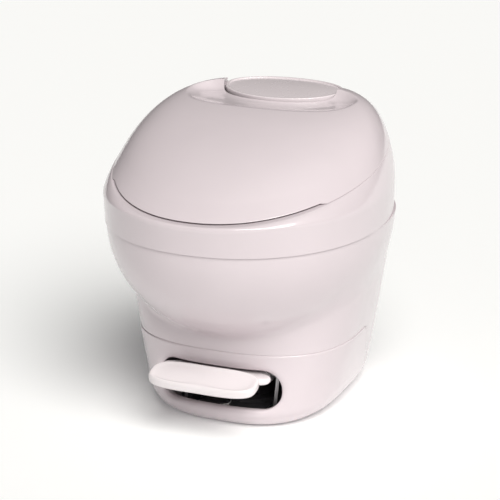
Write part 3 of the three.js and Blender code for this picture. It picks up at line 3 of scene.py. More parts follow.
import bmesh
import bpy
import numpy as np
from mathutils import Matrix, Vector


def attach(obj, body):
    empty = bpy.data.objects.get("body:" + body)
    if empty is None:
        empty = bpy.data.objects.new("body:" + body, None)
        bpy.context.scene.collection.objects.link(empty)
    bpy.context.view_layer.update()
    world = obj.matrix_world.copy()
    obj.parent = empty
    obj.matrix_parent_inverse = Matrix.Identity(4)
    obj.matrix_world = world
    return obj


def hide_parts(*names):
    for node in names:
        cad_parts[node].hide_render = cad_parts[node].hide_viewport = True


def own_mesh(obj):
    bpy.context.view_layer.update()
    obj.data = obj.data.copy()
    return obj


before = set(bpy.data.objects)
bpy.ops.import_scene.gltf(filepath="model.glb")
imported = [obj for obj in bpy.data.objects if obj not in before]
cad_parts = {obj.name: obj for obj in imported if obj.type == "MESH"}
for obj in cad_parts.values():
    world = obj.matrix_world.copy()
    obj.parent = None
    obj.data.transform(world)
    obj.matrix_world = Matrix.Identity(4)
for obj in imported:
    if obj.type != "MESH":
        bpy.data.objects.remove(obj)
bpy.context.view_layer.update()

# The studio: a camera with a long lens to the front right of the toilet and a little above it, a
# pale floor, a broad lamp from the front right, a weaker one overhead and a faint fill all round.
def way_to(heading, height):
    """The direction of a place, by the degrees that it lies to the right of the front and up."""
    heading, height = math.radians(heading), math.radians(height)
    level, up = math.cos(height), math.sin(height)
    return Vector((math.sin(heading) * level, -math.cos(heading) * level, up))


def in_scene(name, data):
    made = bpy.data.objects.new(name, data)
    bpy.context.scene.collection.objects.link(made)
    return made


def looking_back(name, data, way, location):
    """A camera or a lamp that looks back along the way it stands out."""
    made = in_scene(name, data)
    made.location = location
    made.rotation_euler = way.to_track_quat("Z", "Y").to_euler()
    return made


def bare_finish(name):
    paint = bpy.data.materials.new(name)
    paint.use_nodes = True
    return paint, paint.node_tree.nodes["Principled BSDF"]


aim, camera_way, camera_distance = Vector((0, -0.0055, 0.2322)), way_to(22.43, 18.13), 2.8527
long_lens = bpy.data.cameras.new("camera")
long_lens.lens, long_lens.sensor_width, long_lens.clip_end = 136.98, 36, 60
camera_place = aim + camera_distance * camera_way
bpy.context.scene.camera = looking_back("camera", long_lens, camera_way, camera_place)
bpy.context.scene.view_settings.view_transform = "Standard"

floor_reach = 14
floor_corners = [(x * floor_reach, y * floor_reach, 0) for x, y in ((-1, -1), (1, -1), (1, 1), (-1, 1))]
floor_sheet = bpy.data.meshes.new("studio_floor")
floor_sheet.from_pydata(floor_corners, [], [(0, 1, 2, 3)])
studio_floor = in_scene("studio_floor", floor_sheet)
floor_paint, floor_shader = bare_finish("floor_paint")
for socket, value in [("Base Color", (0.88, 0.88, 0.88, 1)), ("Roughness", 0.9),
                      ("Emission Color", (1, 1, 1, 1)), ("Emission Strength", 0.12)]:
    floor_shader.inputs[socket].default_value = value
floor_sheet.materials.append(floor_paint)

lamp_distance = 4
for name, heading, height, softness, power in [
    ("key_light", 43, 49, 0.8, 3.7),
    ("overhead_light", 62, 75, 0.9, 0.1),
]:
    bulb = bpy.data.lights.new(name, "SUN")
    bulb.angle, bulb.energy, bulb.color = softness, power, (1, 0.995, 0.965)
    lamp_way = way_to(heading, height)
    looking_back(name, bulb, lamp_way, lamp_distance * lamp_way)
surround = bpy.data.worlds.new("surround")
surround.use_nodes = True
fill = surround.node_tree.nodes["Background"].inputs
fill["Color"].default_value, fill["Strength"].default_value = (1, 1, 1, 1), 0.05
bpy.context.scene.world = surround


# Bowl casing and pedestal: one hollow injection moulding in glossy white plastic. A rounded bowl
# form hangs over a pedestal that narrows to the foot, and the two meet in a soft crease.
QUARTER = math.pi / 2
WHOLE_TURN = np.linspace(0, 2 * math.pi, 240, endpoint=False)[None, :]
FAR, HIGH = 450, 500  # how far out and up the cutters reach
casing_wall, seam_height, foot_fillet = 5, 294, 32
bowl_depth, nearly_shut, crease_softness, spigot_inset, spigot_top = 185, 0.998, 14, 2.3, 305.7


def egg_reach(egg, turn):
    """Distance from an egg's centre to its edge, with the front at turn 0."""
    forward = np.cos(turn)
    reach = np.where(forward > 0, egg["front"], egg["rear"])
    bend = np.where(forward > 0, egg["power"], egg.get("rear_power", egg["power"]))
    sideways = np.abs(np.sin(turn)) / egg["half"]
    return (sideways ** bend + (np.abs(forward) / reach) ** bend) ** (-1 / bend)


def points_round(reach, height, centre=0):
    x, y = reach * np.sin(WHOLE_TURN), centre - reach * np.cos(WHOLE_TURN)
    return np.stack(np.broadcast_arrays(x, y, height), -1)


def egg_points(egg, height, grow=0.0):
    return points_round(egg_reach(egg, WHOLE_TURN) + grow, height, egg["centre"])


def column(heights):
    return np.asarray(heights, float)[:, None]


def in_metres(points):
    """Design millimetres as metres, with the toilet's middle moved onto the frame's origin."""
    return (np.array(points, float) * 0.001 + (0, -0.0055, 0)).tolist()


def cleaned(mesh, distance):
    """The mesh with its doubled points merged and its faces turned outwards."""
    work = bmesh.new()
    work.from_mesh(mesh)
    bmesh.ops.remove_doubles(work, verts=work.verts, dist=distance)
    bmesh.ops.recalc_face_normals(work, faces=work.faces)
    work.to_mesh(mesh)
    work.free()


def closed_skin(name, rings, hoop=False):
    """A closed skin over rings of points in millimetres; a hoop joins its last ring to its first."""
    rows, count = rings.shape[:2]
    points = list(rings.reshape(-1, 3))
    here = np.arange(rows if hoop else rows - 1)[:, None] * count
    above = (here + count) % (rows * count)
    side = np.arange(count)[None, :]
    following = (side + 1) % count
    corners = [here + side, here + following, above + following, above + side]
    faces = np.stack(corners, -1).reshape(-1, 4).tolist()
    if not hoop:
        points += [rings[0].mean(0), rings[-1].mean(0)]
        top = (rows - 1) * count
        faces += [[rows * count, (s + 1) % count, s] for s in range(count)]
        faces += [[rows * count + 1, top + s, top + (s + 1) % count] for s in range(count)]
    mesh = bpy.data.meshes.new(name)
    mesh.from_pydata(in_metres(points), [], faces)
    cleaned(mesh, 1e-6)
    return in_scene(name, mesh)


def settled(piece):
    """The piece with its modifiers made into plain mesh."""
    mesh = bpy.data.meshes.new_from_object(piece.evaluated_get(bpy.context.evaluated_depsgraph_get()))
    piece.modifiers.clear()
    piece.data = mesh
    return piece


def worked(piece, *steps):
    """The piece after cuts and joins; each tool is used up."""
    for way, tool in steps:
        step = piece.modifiers.new(way, "BOOLEAN")
        step.operation, step.solver, step.object = way, "MANIFOLD", tool
    settled(piece)
    for _, tool in steps:
        bpy.data.objects.remove(tool)
    return piece


def drawn(name, outline, axis, low, high):
    """A flat outline drawn out along an axis; the outline's two numbers lie along the other two."""
    outline = np.asarray(outline, float)
    return closed_skin(name, np.array([np.insert(outline, axis, level, axis=1) for level in (low, high)]))


def turned(name, radius, low, high, centre, sides=48):
    """A rod from side to side."""
    around = np.linspace(0, 2 * math.pi, sides, endpoint=False)
    outline = np.stack([centre[0] + radius * np.cos(around), centre[1] + radius * np.sin(around)], -1)
    return drawn(name, outline, 0, low, high)


def upright(name, egg, low, high, grow=0.0):
    return closed_skin(name, egg_points(egg, column([low, high]), grow))


def finish_node(paint, kind, **sockets):
    """A node of a finish, with the values of its named inputs."""
    made = paint.node_tree.nodes.new("ShaderNode" + kind)
    for socket, value in sockets.items():
        made.inputs[socket.replace("_", " ")].default_value = value
    return made


def two_tones(paint, colour, spread):
    """A ramp from a darker to a lighter tone of one colour."""
    ramp = finish_node(paint, "ValToRGB")
    for end, factor in zip(ramp.color_ramp.elements, (1 - spread, 1 + spread)):
        end.color = (*[min(channel * factor, 1) for channel in colour], 1)
    return ramp


def wired(*wires):
    """Links, each from one node's output to another's input."""
    for giver, output, taker, socket in wires:
        giver.id_data.links.new(giver.outputs[output], taker.inputs[socket])


def moulded_finish(name, colour, roughness, ripple=0.00006, tint=0.02, coat=0.5):
    """Moulded plastic: a faint drift of tone, uneven gloss and a slightly wavy skin."""
    paint, shader = bare_finish(name)
    place = finish_node(paint, "TexCoord")
    drift = finish_node(paint, "TexNoise", Scale=7, Detail=3)
    gloss = finish_node(paint, "TexNoise", Scale=38, Detail=4)
    skin = finish_node(paint, "TexNoise", Scale=150, Detail=2)
    tone = two_tones(paint, colour, tint)
    tone.color_ramp.elements[0].position, tone.color_ramp.elements[1].position = 0.3, 0.7
    spread = finish_node(paint, "MapRange", To_Min=roughness * 0.8, To_Max=roughness * 1.25)
    relief = finish_node(paint, "Bump", Strength=1, Distance=ripple)
    wired(
        *[(place, "Object", noise, "Vector") for noise in (drift, gloss, skin)],
        (drift, "Fac", tone, "Fac"), (tone, "Color", shader, "Base Color"),
        (gloss, "Fac", spread, "Value"), (spread, "Result", shader, "Roughness"),
        (skin, "Fac", relief, "Height"), (relief, "Normal", shader, "Normal"),
    )
    shader.inputs["IOR"].default_value = 1.5
    shader.inputs["Coat Weight"].default_value = coat
    shader.inputs["Coat Roughness"].default_value = 0.06
    return paint


def fitted(piece, body, slot, paint, *nodes):
    """Smooth shading up to a crease, the finish, the body it moves with and the nodes it stands for."""
    piece.data.materials.clear()
    piece.data.materials.append(paint)
    faces = piece.data.polygons
    faces.foreach_set("use_smooth", [True] * len(faces))
    faces.foreach_set("material_index", [0] * len(faces))
    piece.data.set_sharp_from_angle(angle=math.radians(32))
    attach(piece, body)
    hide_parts(*nodes)


def bowl_egg(height):
    """The bowl form at a height: an egg that closes towards the bottom of the bowl."""
    drop = np.clip((seam_height - height) / bowl_depth, 0, nearly_shut)
    share = np.sqrt(1 - drop ** 2)
    return dict(half=205 * share, front=229 * share, rear=245 * share, centre=0, power=2.12)


def pedestal_egg(height):
    """The pedestal form at a height: an egg that widens from the foot up to the seam."""
    rise = np.clip(height / seam_height, 0, 1) ** 0.87
    return dict(half=139 + 64 * rise, front=163 - 6 * rise, rear=203 + 6 * rise, centre=29, power=2.7,
                rear_power=3.4 - 1.28 * rise)


def halved(near, far, rounds, short_of):
    """The distance between near and far up to which short_of holds, found by halving."""
    for _ in range(rounds):
        middle = (near + far) / 2
        short = short_of(middle)
        near, far = np.where(short, middle, near), np.where(short, far, middle)
    return (near + far) / 2


def reach_from_origin(egg, turn):
    """Distance from the origin to the edge of an egg whose centre lies off it."""
    def inside(reach):
        x, y = reach * np.sin(turn), -reach * np.cos(turn) - egg["centre"]
        return np.hypot(x, y) < egg_reach(egg, np.arctan2(x, -y))

    return halved(0.0, 700.0, 34, inside)


def casing_reach(turn, height, inset=0.0):
    """Distance from the origin to the casing: bowl and pedestal in one, rounded in at the foot."""
    bowl_form = egg_reach(bowl_egg(height), turn)
    pedestal_form = reach_from_origin(pedestal_egg(height), turn)
    proud = bowl_form - pedestal_form
    mix = np.clip(0.5 + proud / (2 * crease_softness), 0, 1)
    plain = pedestal_form + proud * mix + crease_softness * mix * (1 - mix)
    rise = np.maximum(height, 0)
    rounded = np.maximum((foot_fillet - inset) ** 2 - (foot_fillet - rise) ** 2, 0)
    foot = plain - foot_fillet + np.sqrt(rounded) - np.maximum(inset - rise, 0)
    return np.where(height >= foot_fillet, plain - inset, foot)


def casing_rings(heights, inset=0.0):
    heights = column(heights)
    return points_round(casing_reach(WHOLE_TURN, heights, inset), heights)


fillet_heights = foot_fillet * (1 - np.cos(np.linspace(0, QUARTER, 12)))
wall_heights = np.linspace(foot_fillet, seam_height, 104)[1:]
casing_heights = np.concatenate([fillet_heights, wall_heights])
below_floor = -20
cutter_heights = np.concatenate([[below_floor], casing_heights[::3], [seam_height, seam_height + 20]])
spigot = dict(half=205 - spigot_inset, front=229 - spigot_inset, rear=245 - spigot_inset, centre=0,
              power=2.12)
cover_top, cover_corner, cover_rear, corner_soft = 118, 57, 150, 18
cover_gap, pocket_depth, slot_gap = 0.3, 1.8, 3.1


def cover_outline(grow):
    """Side view of the base cover: level top edge, a soft top corner and a slanted rear edge."""
    heel = np.array([cover_rear + grow, below_floor])
    corner = np.array([cover_corner + grow, cover_top + grow])
    front = np.array([-FAR, cover_top + grow])
    start = corner + corner_soft * (heel - corner) / np.linalg.norm(heel - corner)
    end = corner + corner_soft * (front - corner) / np.linalg.norm(front - corner)
    bend = [(1 - t) ** 2 * start + 2 * t * (1 - t) * corner + t * t * end for t in np.linspace(0, 1, 13)]
    return np.array([(-FAR, below_floor), tuple(heel), *map(tuple, bend), tuple(front)])


def slot_outline(grow):
    """The pedal slot in front view, a box with round corners, from its low right corner round."""
    low, high, half, radius = 30 - grow, 93 + grow, 96 + grow, 29 + grow
    corner_steps, edge_steps = 14, 32
    outline = []
    for quarter, (x, z) in enumerate([(half, low), (half, high), (-half, high), (-half, low)]):
        centre = (x - math.copysign(radius, x), low + radius if z == low else high - radius)
        for step in range(corner_steps + 1):
            angle = (quarter - 1) * QUARTER + step / corner_steps * QUARTER
            outline.append((centre[0] + radius * math.cos(angle), centre[1] + radius * math.sin(angle)))
        if quarter % 2:
            start, run = outline[-1], -2 * math.copysign(half - radius, x)
            outline += [(start[0] + run * step / edge_steps, start[1]) for step in range(1, edge_steps)]
    return np.array(outline)


body_shell = worked(
    closed_skin("bowl_casing", casing_rings(casing_heights)),
    ("UNION", upright("spigot", spigot, seam_height - 5, spigot_top)),
    ("DIFFERENCE", closed_skin("hollow", casing_rings(cutter_heights, casing_wall))),
    ("DIFFERENCE", worked(
        drawn("cover_pocket", cover_outline(cover_gap), 0, -FAR, FAR),
        ("DIFFERENCE", closed_skin("pocket_floor", casing_rings(casing_heights, pocket_depth))))),
    ("DIFFERENCE", drawn("slot_room", slot_outline(slot_gap), 1, -FAR, 0)),
)
white_plastic = moulded_finish("white_plastic", (0.68, 0.603, 0.632), 0.2)
fitted(body_shell, "toilet", "shell_plastic", white_plastic, "body_shell")


# Base cover: a thin snap-on moulding round the foot. Its top edge swells out of the pedestal, and
# the pedal slot in its front has a rolled lip with a short return into the dark inside.
def edge_distance(outline, y, z):
    """Distance from points in side view to the cover's upper and rear edge."""
    nearest = np.full(np.broadcast(y, z).shape, 1e9)
    for (y0, z0), (y1, z1) in zip(outline[1:-1], outline[2:]):
        run = (y1 - y0) ** 2 + (z1 - z0) ** 2
        share = np.clip(((y - y0) * (y1 - y0) + (z - z0) * (z1 - z0)) / run, 0, 1)
        nearest = np.minimum(nearest, np.hypot(y - y0 - share * (y1 - y0), z - z0 - share * (z1 - z0)))
    return nearest


cover_proud, cover_inset, cover_swell, edge_tuck = 1.5, 1.5, 3.2, 0.6
lip_roll, lip_depth, lip_reach, lip_overlap = 11.5, 7.0, 13.0, 0.6
cover_heights = np.concatenate([
    fillet_heights, np.linspace(foot_fillet, cover_top - 4, 40)[1:],
    np.linspace(cover_top - 3.7, cover_top, 12)])
cover_rings = casing_rings(cover_heights, -cover_proud)
to_edge = edge_distance(cover_outline(0), cover_rings[..., 1], cover_rings[..., 2])
swell = np.clip(to_edge / cover_swell, 0, 1)
tuck = (1 - np.sqrt(1 - (1 - swell) ** 2)) * (cover_proud + edge_tuck)
planar = cover_rings[..., :2]
cover_rings[..., :2] = planar * (1 - tuck / np.linalg.norm(planar, axis=-1))[..., None]


def front_face(x, z):
    """Where the cover's front lies at a place in front view."""
    def outside(y):
        return np.hypot(x, y) > casing_reach(np.arctan2(x, -y), z, -cover_proud)

    return halved(-300.0, -20.0, 30, outside)


lip_profile = [(lip_reach, 0), (12.2, 0)]
for angle in np.linspace(0, QUARTER, 15):
    lip_profile.append((lip_roll * (1 - math.sin(angle)), lip_depth * (1 - math.cos(angle))))
lip_profile += [(0, 9), (0, 13), (0.5, 14.4), (1.6, 15), (2.6, 14.4), (2.9, 12), (3.4, 9.6), (6, 5.4),
                (9.5, 3.2), (lip_reach, 2.8)]
lip_rings = []
for grow, depth in lip_profile:
    outline = slot_outline(grow)
    y = front_face(outline[:, 0], outline[:, 1]) + depth
    lip_rings.append(np.stack([outline[:, 0], y, outline[:, 1]], -1))
slot_lip = closed_skin("slot_lip", np.array(lip_rings), hoop=True)
base_cover = worked(
    closed_skin("foot_cover", cover_rings),
    ("DIFFERENCE", closed_skin("cover_hollow", casing_rings(cutter_heights, cover_inset))),
    ("INTERSECT", drawn("cover_region", cover_outline(0), 0, -FAR, FAR)),
    ("DIFFERENCE", drawn("slot_room", slot_outline(lip_reach - lip_overlap), 1, -FAR, 0)),
)
fitted(base_cover, "toilet", "shell_plastic", white_plastic, "base_cover")
fitted(slot_lip, "toilet", "shell_plastic", white_plastic)


# Shroud: the seat deck with its rounded shoulder, moulded in one with the well round the bowl's
# mouth and the hump behind the lid, and drawn down over the casing's rim with two screws.
PARTING_FRONT, DOME_TOP = 338, 462.2
apron_share, apron_height, dome_middle, edge_softness = 0.65, 25, 133, 8
front_bend, front_fullness, deck_wall = 1.35, 1.85, 4


def parting_height(y):
    return PARTING_FRONT + 0.185 * (y + 226)


def dome_egg(height, inset=0.0):
    """The dome over the parting line at a height: an egg that closes towards its top."""
    rise = np.clip((height - PARTING_FRONT) / (DOME_TOP - inset - PARTING_FRONT), 0, 1)
    side = (1 - rise ** 1.73) ** (1 / 4.97)
    front = (1 - rise ** front_bend) ** (1 / front_fullness)
    rear = (1 - rise ** 1.3) ** (1 / 2.62)
    centre = dome_middle * (1 - front)
    return dict(half=(206 - inset) * side, front=centre - dome_middle + (352 - inset) * front,
                rear=dome_middle + (114 - inset) * rear - centre, centre=centre, power=2, rear_power=2.12)


def shoulder_reach(height, inset=0.0):
    """How far the shroud's shoulder stands outside the dome, fading out towards the rear."""
    rise = np.clip((height - seam_height) / (PARTING_FRONT - seam_height), 0, 1)
    band = dict(half=207 + rise - inset, front=231 + 4.8 * rise - inset, rear=247 - inset, power=2.12)
    fade = np.clip(1 - (height - PARTING_FRONT) / 55, 0, 1)
    return fade * (egg_reach(band, WHOLE_TURN) - egg_reach(dome_egg(PARTING_FRONT, inset), WHOLE_TURN))


def parting_level(inset=0.0, drop=0.0):
    """The parting line's height at each turn, by closing in on it."""
    height = np.full(WHOLE_TURN.shape, float(PARTING_FRONT))
    for _ in range(30):
        flare = apron_share * shoulder_reach(height, inset)
        at_edge = egg_points(dome_egg(height, inset), height, flare)
        height = (height + parting_height(at_edge[..., 1]) - drop) / 2
    return height


def dome_skin(heights, inset=0.0, grow=0.0):
    """The dome at given heights, with the apron that flares out round its foot."""
    climb = (heights - parting_level(inset)) / apron_height
    flare = apron_share * np.clip(1 - climb, 0, 1) ** 1.25 * shoulder_reach(heights, inset)
    return egg_points(dome_egg(heights, inset), heights, flare + grow)


flat_shares = np.linspace(0.56, 0.0006, 96)[5:]
flat_shares = (1 - flat_shares ** front_fullness) ** (1 / front_bend)
dome_shares = np.concatenate([np.linspace(0, 0.72, 46), flat_shares])


def dome_rings(inset, drop, shares):
    low = parting_level(inset, drop)
    return dome_skin(low + (DOME_TOP - inset - low) * column(shares), inset)


def shroud_rings(inset, lift, shares, sunk=0):
    """The deck from the seam up to the parting line; a cutter's lowest ring is let down once more."""
    parting, foot = parting_level(inset) + lift, seam_height + 0.3
    heights = foot + (parting - foot) * column(shares)
    over = np.clip(1 - (parting - heights) / edge_softness, 0, 1)
    share = apron_share + (1 - apron_share) * np.sqrt(1 - over ** 2)
    rings = egg_points(dome_egg(np.maximum(heights, PARTING_FRONT), inset), heights,
                       share * shoulder_reach(heights, inset))
    if sunk:
        rings = np.concatenate([rings[:1] - (0, 0, sunk), rings])
    return rings


def egg_rings(egg, steps, slope=None):
    """Rings of an egg, over a slope or the floor: each step is a ring's height and its growth."""
    rings = np.array([egg_points(egg, float(lift), grow)[0] for lift, grow in steps])
    if slope:
        rings[..., 2] += slope(rings[..., 1])
    return rings


def brick(name, low, high):
    (x0, y0, z0), (x1, y1, z1) = low, high
    return drawn(name, [(x0, y0), (x1, y0), (x1, y1), (x0, y1)], 2, z0, z1)


def both_sides(way, make):
    """The same cut or join on the right and, mirrored, on the left."""
    right, left = make(), make()
    left.data.transform(((-1, 0, 0, 0), (0, 1, 0, 0), (0, 0, 1, 0), (0, 0, 0, 1)))
    left.data.flip_normals()
    return (way, right), (way, left)


hinge_y, hinge_z = 150, 439
hinge = (hinge_y, hinge_z)
hump_y, knuckle_room = 151, 21
cap_egg = dict(half=93.5, front=72, rear=52, centre=140, power=2)
tower_egg = dict(half=92.5, front=38, rear=46, centre=140, power=2.2)
well_egg = dict(half=100, front=80, rear=80, centre=-60, power=2.12)
below_parting = [(-FAR, below_floor), (FAR, below_floor)] + [(y, parting_height(y)) for y in (FAR, -FAR)]
shoulder_turns = np.linspace(0, QUARTER, 26)[1:]
round_shoulder = np.concatenate([np.linspace(0, 0.8, 16), 1 - 0.2 * (1 - np.sin(shoulder_turns))])
tower_lift, cap_clearance, well_bottom, well_wall = -9.3, 0.4, 316, 3.5
cap_pocket = [(tower_lift, cap_clearance), (20, cap_clearance)]


def cap_plane(y):
    """The plane of the hinge cover's oval, which climbs a little to the rear."""
    return 452 + 0.03 * (y - 68)


def hump_region(inset):
    return worked(
        brick("hump_region", (-FAR, hump_y + inset, 0), (FAR, FAR, HIGH)),
        ("DIFFERENCE", turned("knuckle_room", knuckle_room + inset, -FAR, FAR, hinge, 72)),
    )


def tower(name):
    base = egg_points(tower_egg, column([parting_height(102) - 4]))
    return closed_skin(name, np.concatenate([base, egg_rings(tower_egg, [(tower_lift, 0)], cap_plane)]))


shroud = worked(
    closed_skin("shroud_moulding", shroud_rings(0, 0, round_shoulder)),
    ("UNION", worked(
        closed_skin("hump", dome_rings(0, 2, dome_shares)),
        ("INTERSECT", hump_region(0)),
        ("DIFFERENCE", closed_skin("pocket", egg_rings(cap_egg, cap_pocket, cap_plane))))),
    ("UNION", tower("tower")),
    ("DIFFERENCE", closed_skin("deck_hollow", shroud_rings(deck_wall, -deck_wall, round_shoulder[::3], 20))),
    ("DIFFERENCE", worked(
        closed_skin("hump_hollow", dome_rings(deck_wall, 14, dome_shares[::4])),
        ("INTERSECT", hump_region(deck_wall)),
        ("DIFFERENCE", tower("tower_stay")))),
    ("UNION", worked(
        upright("well", well_egg, well_bottom, HIGH, well_wall),
        ("INTERSECT", drawn("deck_below", below_parting, 0, -FAR, FAR)))),
    ("DIFFERENCE", upright("well_hole", well_egg, 0, HIGH)),
    ("DIFFERENCE", closed_skin("pocket", egg_rings(cap_egg, cap_pocket, cap_plane))),
)
fitted(shroud, "toilet", "shell_plastic", white_plastic, "shroud")


# Hinge cover: the oval cap that snaps over the hinges, with a bright raised rim round a shallow
# recess and a plain crown.
def cap_profile():
    """Lift and growth of each ring, up the outside, over the rim and down into the recess."""
    yield -9, 0
    yield -4, 0
    yield -1.6, 0
    for angle in np.linspace(0.2, QUARTER, 7):
        yield -1.6 + 1.6 * math.sin(angle), -1.8 * (1 - math.cos(angle))
    yield 0, -3
    for angle in np.linspace(0.3, QUARTER, 6):
        yield -0.9 * (1 - math.cos(angle)), -3.6 - 1.2 * math.sin(angle)
    for angle in np.linspace(0.3, QUARTER, 6):
        yield -0.9 - 0.9 * math.sin(angle), -4.8 - 1.2 * (1 - math.cos(angle))


cap_rings = egg_rings(cap_egg, cap_profile(), cap_plane)
cap_inside = [(-30, -3), (-4.6, -3)]
recess_edge, recess_middle, crown_rise = cap_rings[-1], cap_rings[-1].mean(0), 2
crown_rings = []
for share in np.linspace(0.06, 0.985, 26):
    lift = (0, 0, crown_rise * (1 - (1 - share) ** 2))
    crown_rings.append(recess_edge + (recess_middle - recess_edge) * share + lift)
hinge_cover = worked(
    closed_skin("oval_cap", np.concatenate([cap_rings, crown_rings])),
    ("DIFFERENCE", closed_skin("cap_hollow", egg_rings(cap_egg, cap_inside, cap_plane))),
)
cap_plastic = moulded_finish("cap_plastic", (0.76, 0.685, 0.71), 0.26, ripple=0.00002, coat=0.3)
fitted(hinge_cover, "toilet", "cap_plastic", cap_plastic, "hinge_cover")


# Lid: one domed moulding that closes down to a hair line on the shroud, with a finger gap under
# its front edge, a wide shallow trough before the hinge cover and a knuckle along its rear edge.
trough_middle, trough_floor, trough_rise = 84, 444.5, 6.5
gap_half, gap_height, gap_fade, hair_line, edge_top, lid_wall, bend_width = 167, 3, 6, 0.5, 1.2, 3, 3
knuckle_radius, bore_radius, bore_start, cap_cut_half = 16.5, 13.5, 121.5, 103


def trough_height(x, y):
    """Height of the trough over a place in plan, from its floor out to its crest."""
    def outside(spread):
        depth = np.where(y < trough_middle, trough_middle - (56 - 46 * spread), 12 + 26 * spread)
        across, along = np.abs(x) / (92 + 39 * spread), np.abs(y - trough_middle) / depth
        return across ** 2.6 + along ** 2.6 >= 1

    spread = halved(0.0, 1.5, 25, outside)
    from_cap = np.hypot(x / cap_egg["half"], (y - cap_egg["centre"]) / cap_egg["front"]) - 1
    beside_cap = np.clip(1 - 4 * from_cap, 0, 1)
    return trough_floor + trough_rise * spread ** 4 + 3 * beside_cap ** 2


def lowered_to_trough(rings, above, wall=0):
    """Rings whose points above a height are brought down to the trough, less a wall, in a soft bend."""
    high = rings[..., 2] > above
    plain = rings[high, 2]
    trough = trough_height(rings[high, 0], rings[high, 1]) - wall
    mix = np.clip(0.5 + (trough - plain) / (2 * bend_width), 0, 1)
    rings[high, 2] = trough + (plain - trough) * mix - bend_width * mix * (1 - mix)
    return rings


edge_level = parting_level()
edge_place = dome_skin(edge_level)[0]
in_gap = np.clip((gap_half - np.abs(edge_place[:, 0])) / gap_fade, 0, 1) * (edge_place[:, 1] < 0)
edge_low = edge_level + hair_line + gap_height * in_gap * in_gap * (3 - 2 * in_gap)
lid_rings = [dome_skin(edge_low + rise, 0, -inward * (0.4 + 0.6 * in_gap))
             for rise, inward in ((0, 1.1), (0.12, 0.6), (0.4, 0.25), (0.8, 0.06), (edge_top, 0))]
lid_heights = edge_low + edge_top + (DOME_TOP - edge_low - edge_top) * column(dome_shares[1:])
lid_rings = np.concatenate(lid_rings + [dome_skin(lid_heights)])
lid_inner = dome_rings(lid_wall, 20, dome_shares[::2])
lid_cut = dict(half=95.1, front=73.6, rear=52, centre=140, power=2.1)
lug_corner = (109.5, hinge_y - knuckle_radius, hinge_z - knuckle_radius)
lid_hollow = worked(
    closed_skin("lid_hollow", lowered_to_trough(lid_inner, 420, lid_wall)),
    ("INTERSECT", worked(
        brick("before_hinge", (-FAR, -FAR, 0), (FAR, hinge_y - 3, HIGH)),
        *both_sides("UNION", lambda: turned("knuckle_bore", bore_radius, bore_start, FAR, hinge)))),
    *both_sides("DIFFERENCE", lambda: brick("lug", lug_corner, (118.5, hinge_y, HIGH))),
)
lid = worked(
    closed_skin("lid_moulding", lowered_to_trough(lid_rings, 425)),
    ("INTERSECT", worked(
        brick("lid_region", (-FAR, -FAR, 0), (FAR, hinge_y, HIGH)),
        ("UNION", turned("knuckle", knuckle_radius, -FAR, FAR, hinge, 72)))),
    ("DIFFERENCE", lid_hollow),
    ("DIFFERENCE", upright("cap_gap", lid_cut, 0, HIGH)),
    ("DIFFERENCE", brick("behind_cap", (-cap_cut_half, cap_egg["centre"], 0), (cap_cut_half, FAR, HIGH))),
)
fitted(lid, "lid_cover", "shell_plastic", white_plastic, "lid")


# Seat: a closed ring that follows the deck's slope, with a crowned top, a rolled inner edge and
# two arms back to the hinge pins.
seat_outer = dict(half=162, front=121, rear=122, centre=-60, power=2)
seat_hole = dict(half=106, front=87, rear=88, centre=-60, power=2)
seat_clearance, seat_thickness, arm_inner, arm_outer = 4, 17, 100, 107
seat_profile = []
for angle in np.linspace(-QUARTER, QUARTER, 11):
    seat_profile.append((1 - 0.11 + 0.11 * math.cos(angle), 0.36 + 0.36 * math.sin(angle)))
for share in np.linspace(0.86, 0.14, 16):
    seat_profile.append((share, 0.72 + 0.28 * math.sin(math.pi * share) ** 0.8 - 0.1 * (1 - share)))
for angle in np.linspace(QUARTER, 3 * QUARTER, 11):
    seat_profile.append((0.12 + 0.12 * math.cos(angle), 0.33 + 0.33 * math.sin(angle)))
for share in np.linspace(0.2, 0.8, 8):
    seat_profile.append((share, 0.12 * math.sin(math.pi * (share - 0.1) / 0.8)))
inner_edge, outer_edge = (egg_points(egg, 0.0)[0] for egg in (seat_hole, seat_outer))
seat_rings = []
for share, rise in seat_profile:
    ring = inner_edge + (outer_edge - inner_edge) * share
    ring[:, 2] = parting_height(ring[:, 1]) + seat_clearance + seat_thickness * rise
    seat_rings.append(ring)


def belt_outline(first, first_radius, second, second_radius):
    """Outline drawn tight round two circles."""
    way = math.atan2(second[1] - first[1], second[0] - first[0])
    lean = math.acos((first_radius - second_radius) / math.dist(first, second))
    arcs = [(first, first_radius, way + lean, way + 2 * math.pi - lean),
            (second, second_radius, way - lean, way + lean)]
    return [(centre[0] + radius * math.cos(angle), centre[1] + radius * math.sin(angle))
            for centre, radius, low, high in arcs for angle in np.linspace(low, high, 16)]


arm_outline = belt_outline((22, parting_height(22) + 12.5), 6.5, hinge, 7)
seat = worked(
    closed_skin("seat_moulding", np.array(seat_rings), hoop=True),
    *both_sides("UNION", lambda: drawn("seat_arm", arm_outline, 0, arm_inner, arm_outer)),
)
fitted(seat, "seat_ring", "shell_plastic", white_plastic, "seat")


# Bowl: the smooth white lining, blow-moulded with a belly that drains to a round outlet. Its shape
# follows one rule from mouth to outlet, with a wide flange on the casing's rim and one to bolt below.
def group_tree(name, sizes, **others):
    """A geometry tree with named inputs: its sizes, others with their kind, and its finish."""
    tree = bpy.data.node_groups.new(name, "GeometryNodeTree")
    kinds = {"Geometry": "Geometry", **dict.fromkeys(sizes.split(), "Float"), **others, "finish": "Material"}
    for socket, kind in kinds.items():
        tree.interface.new_socket(socket, in_out="INPUT", socket_type="NodeSocket" + kind)
    tree.interface.new_socket("Geometry", in_out="OUTPUT", socket_type="NodeSocketGeometry")
    return tree, tree.nodes.new("NodeGroupInput").outputs


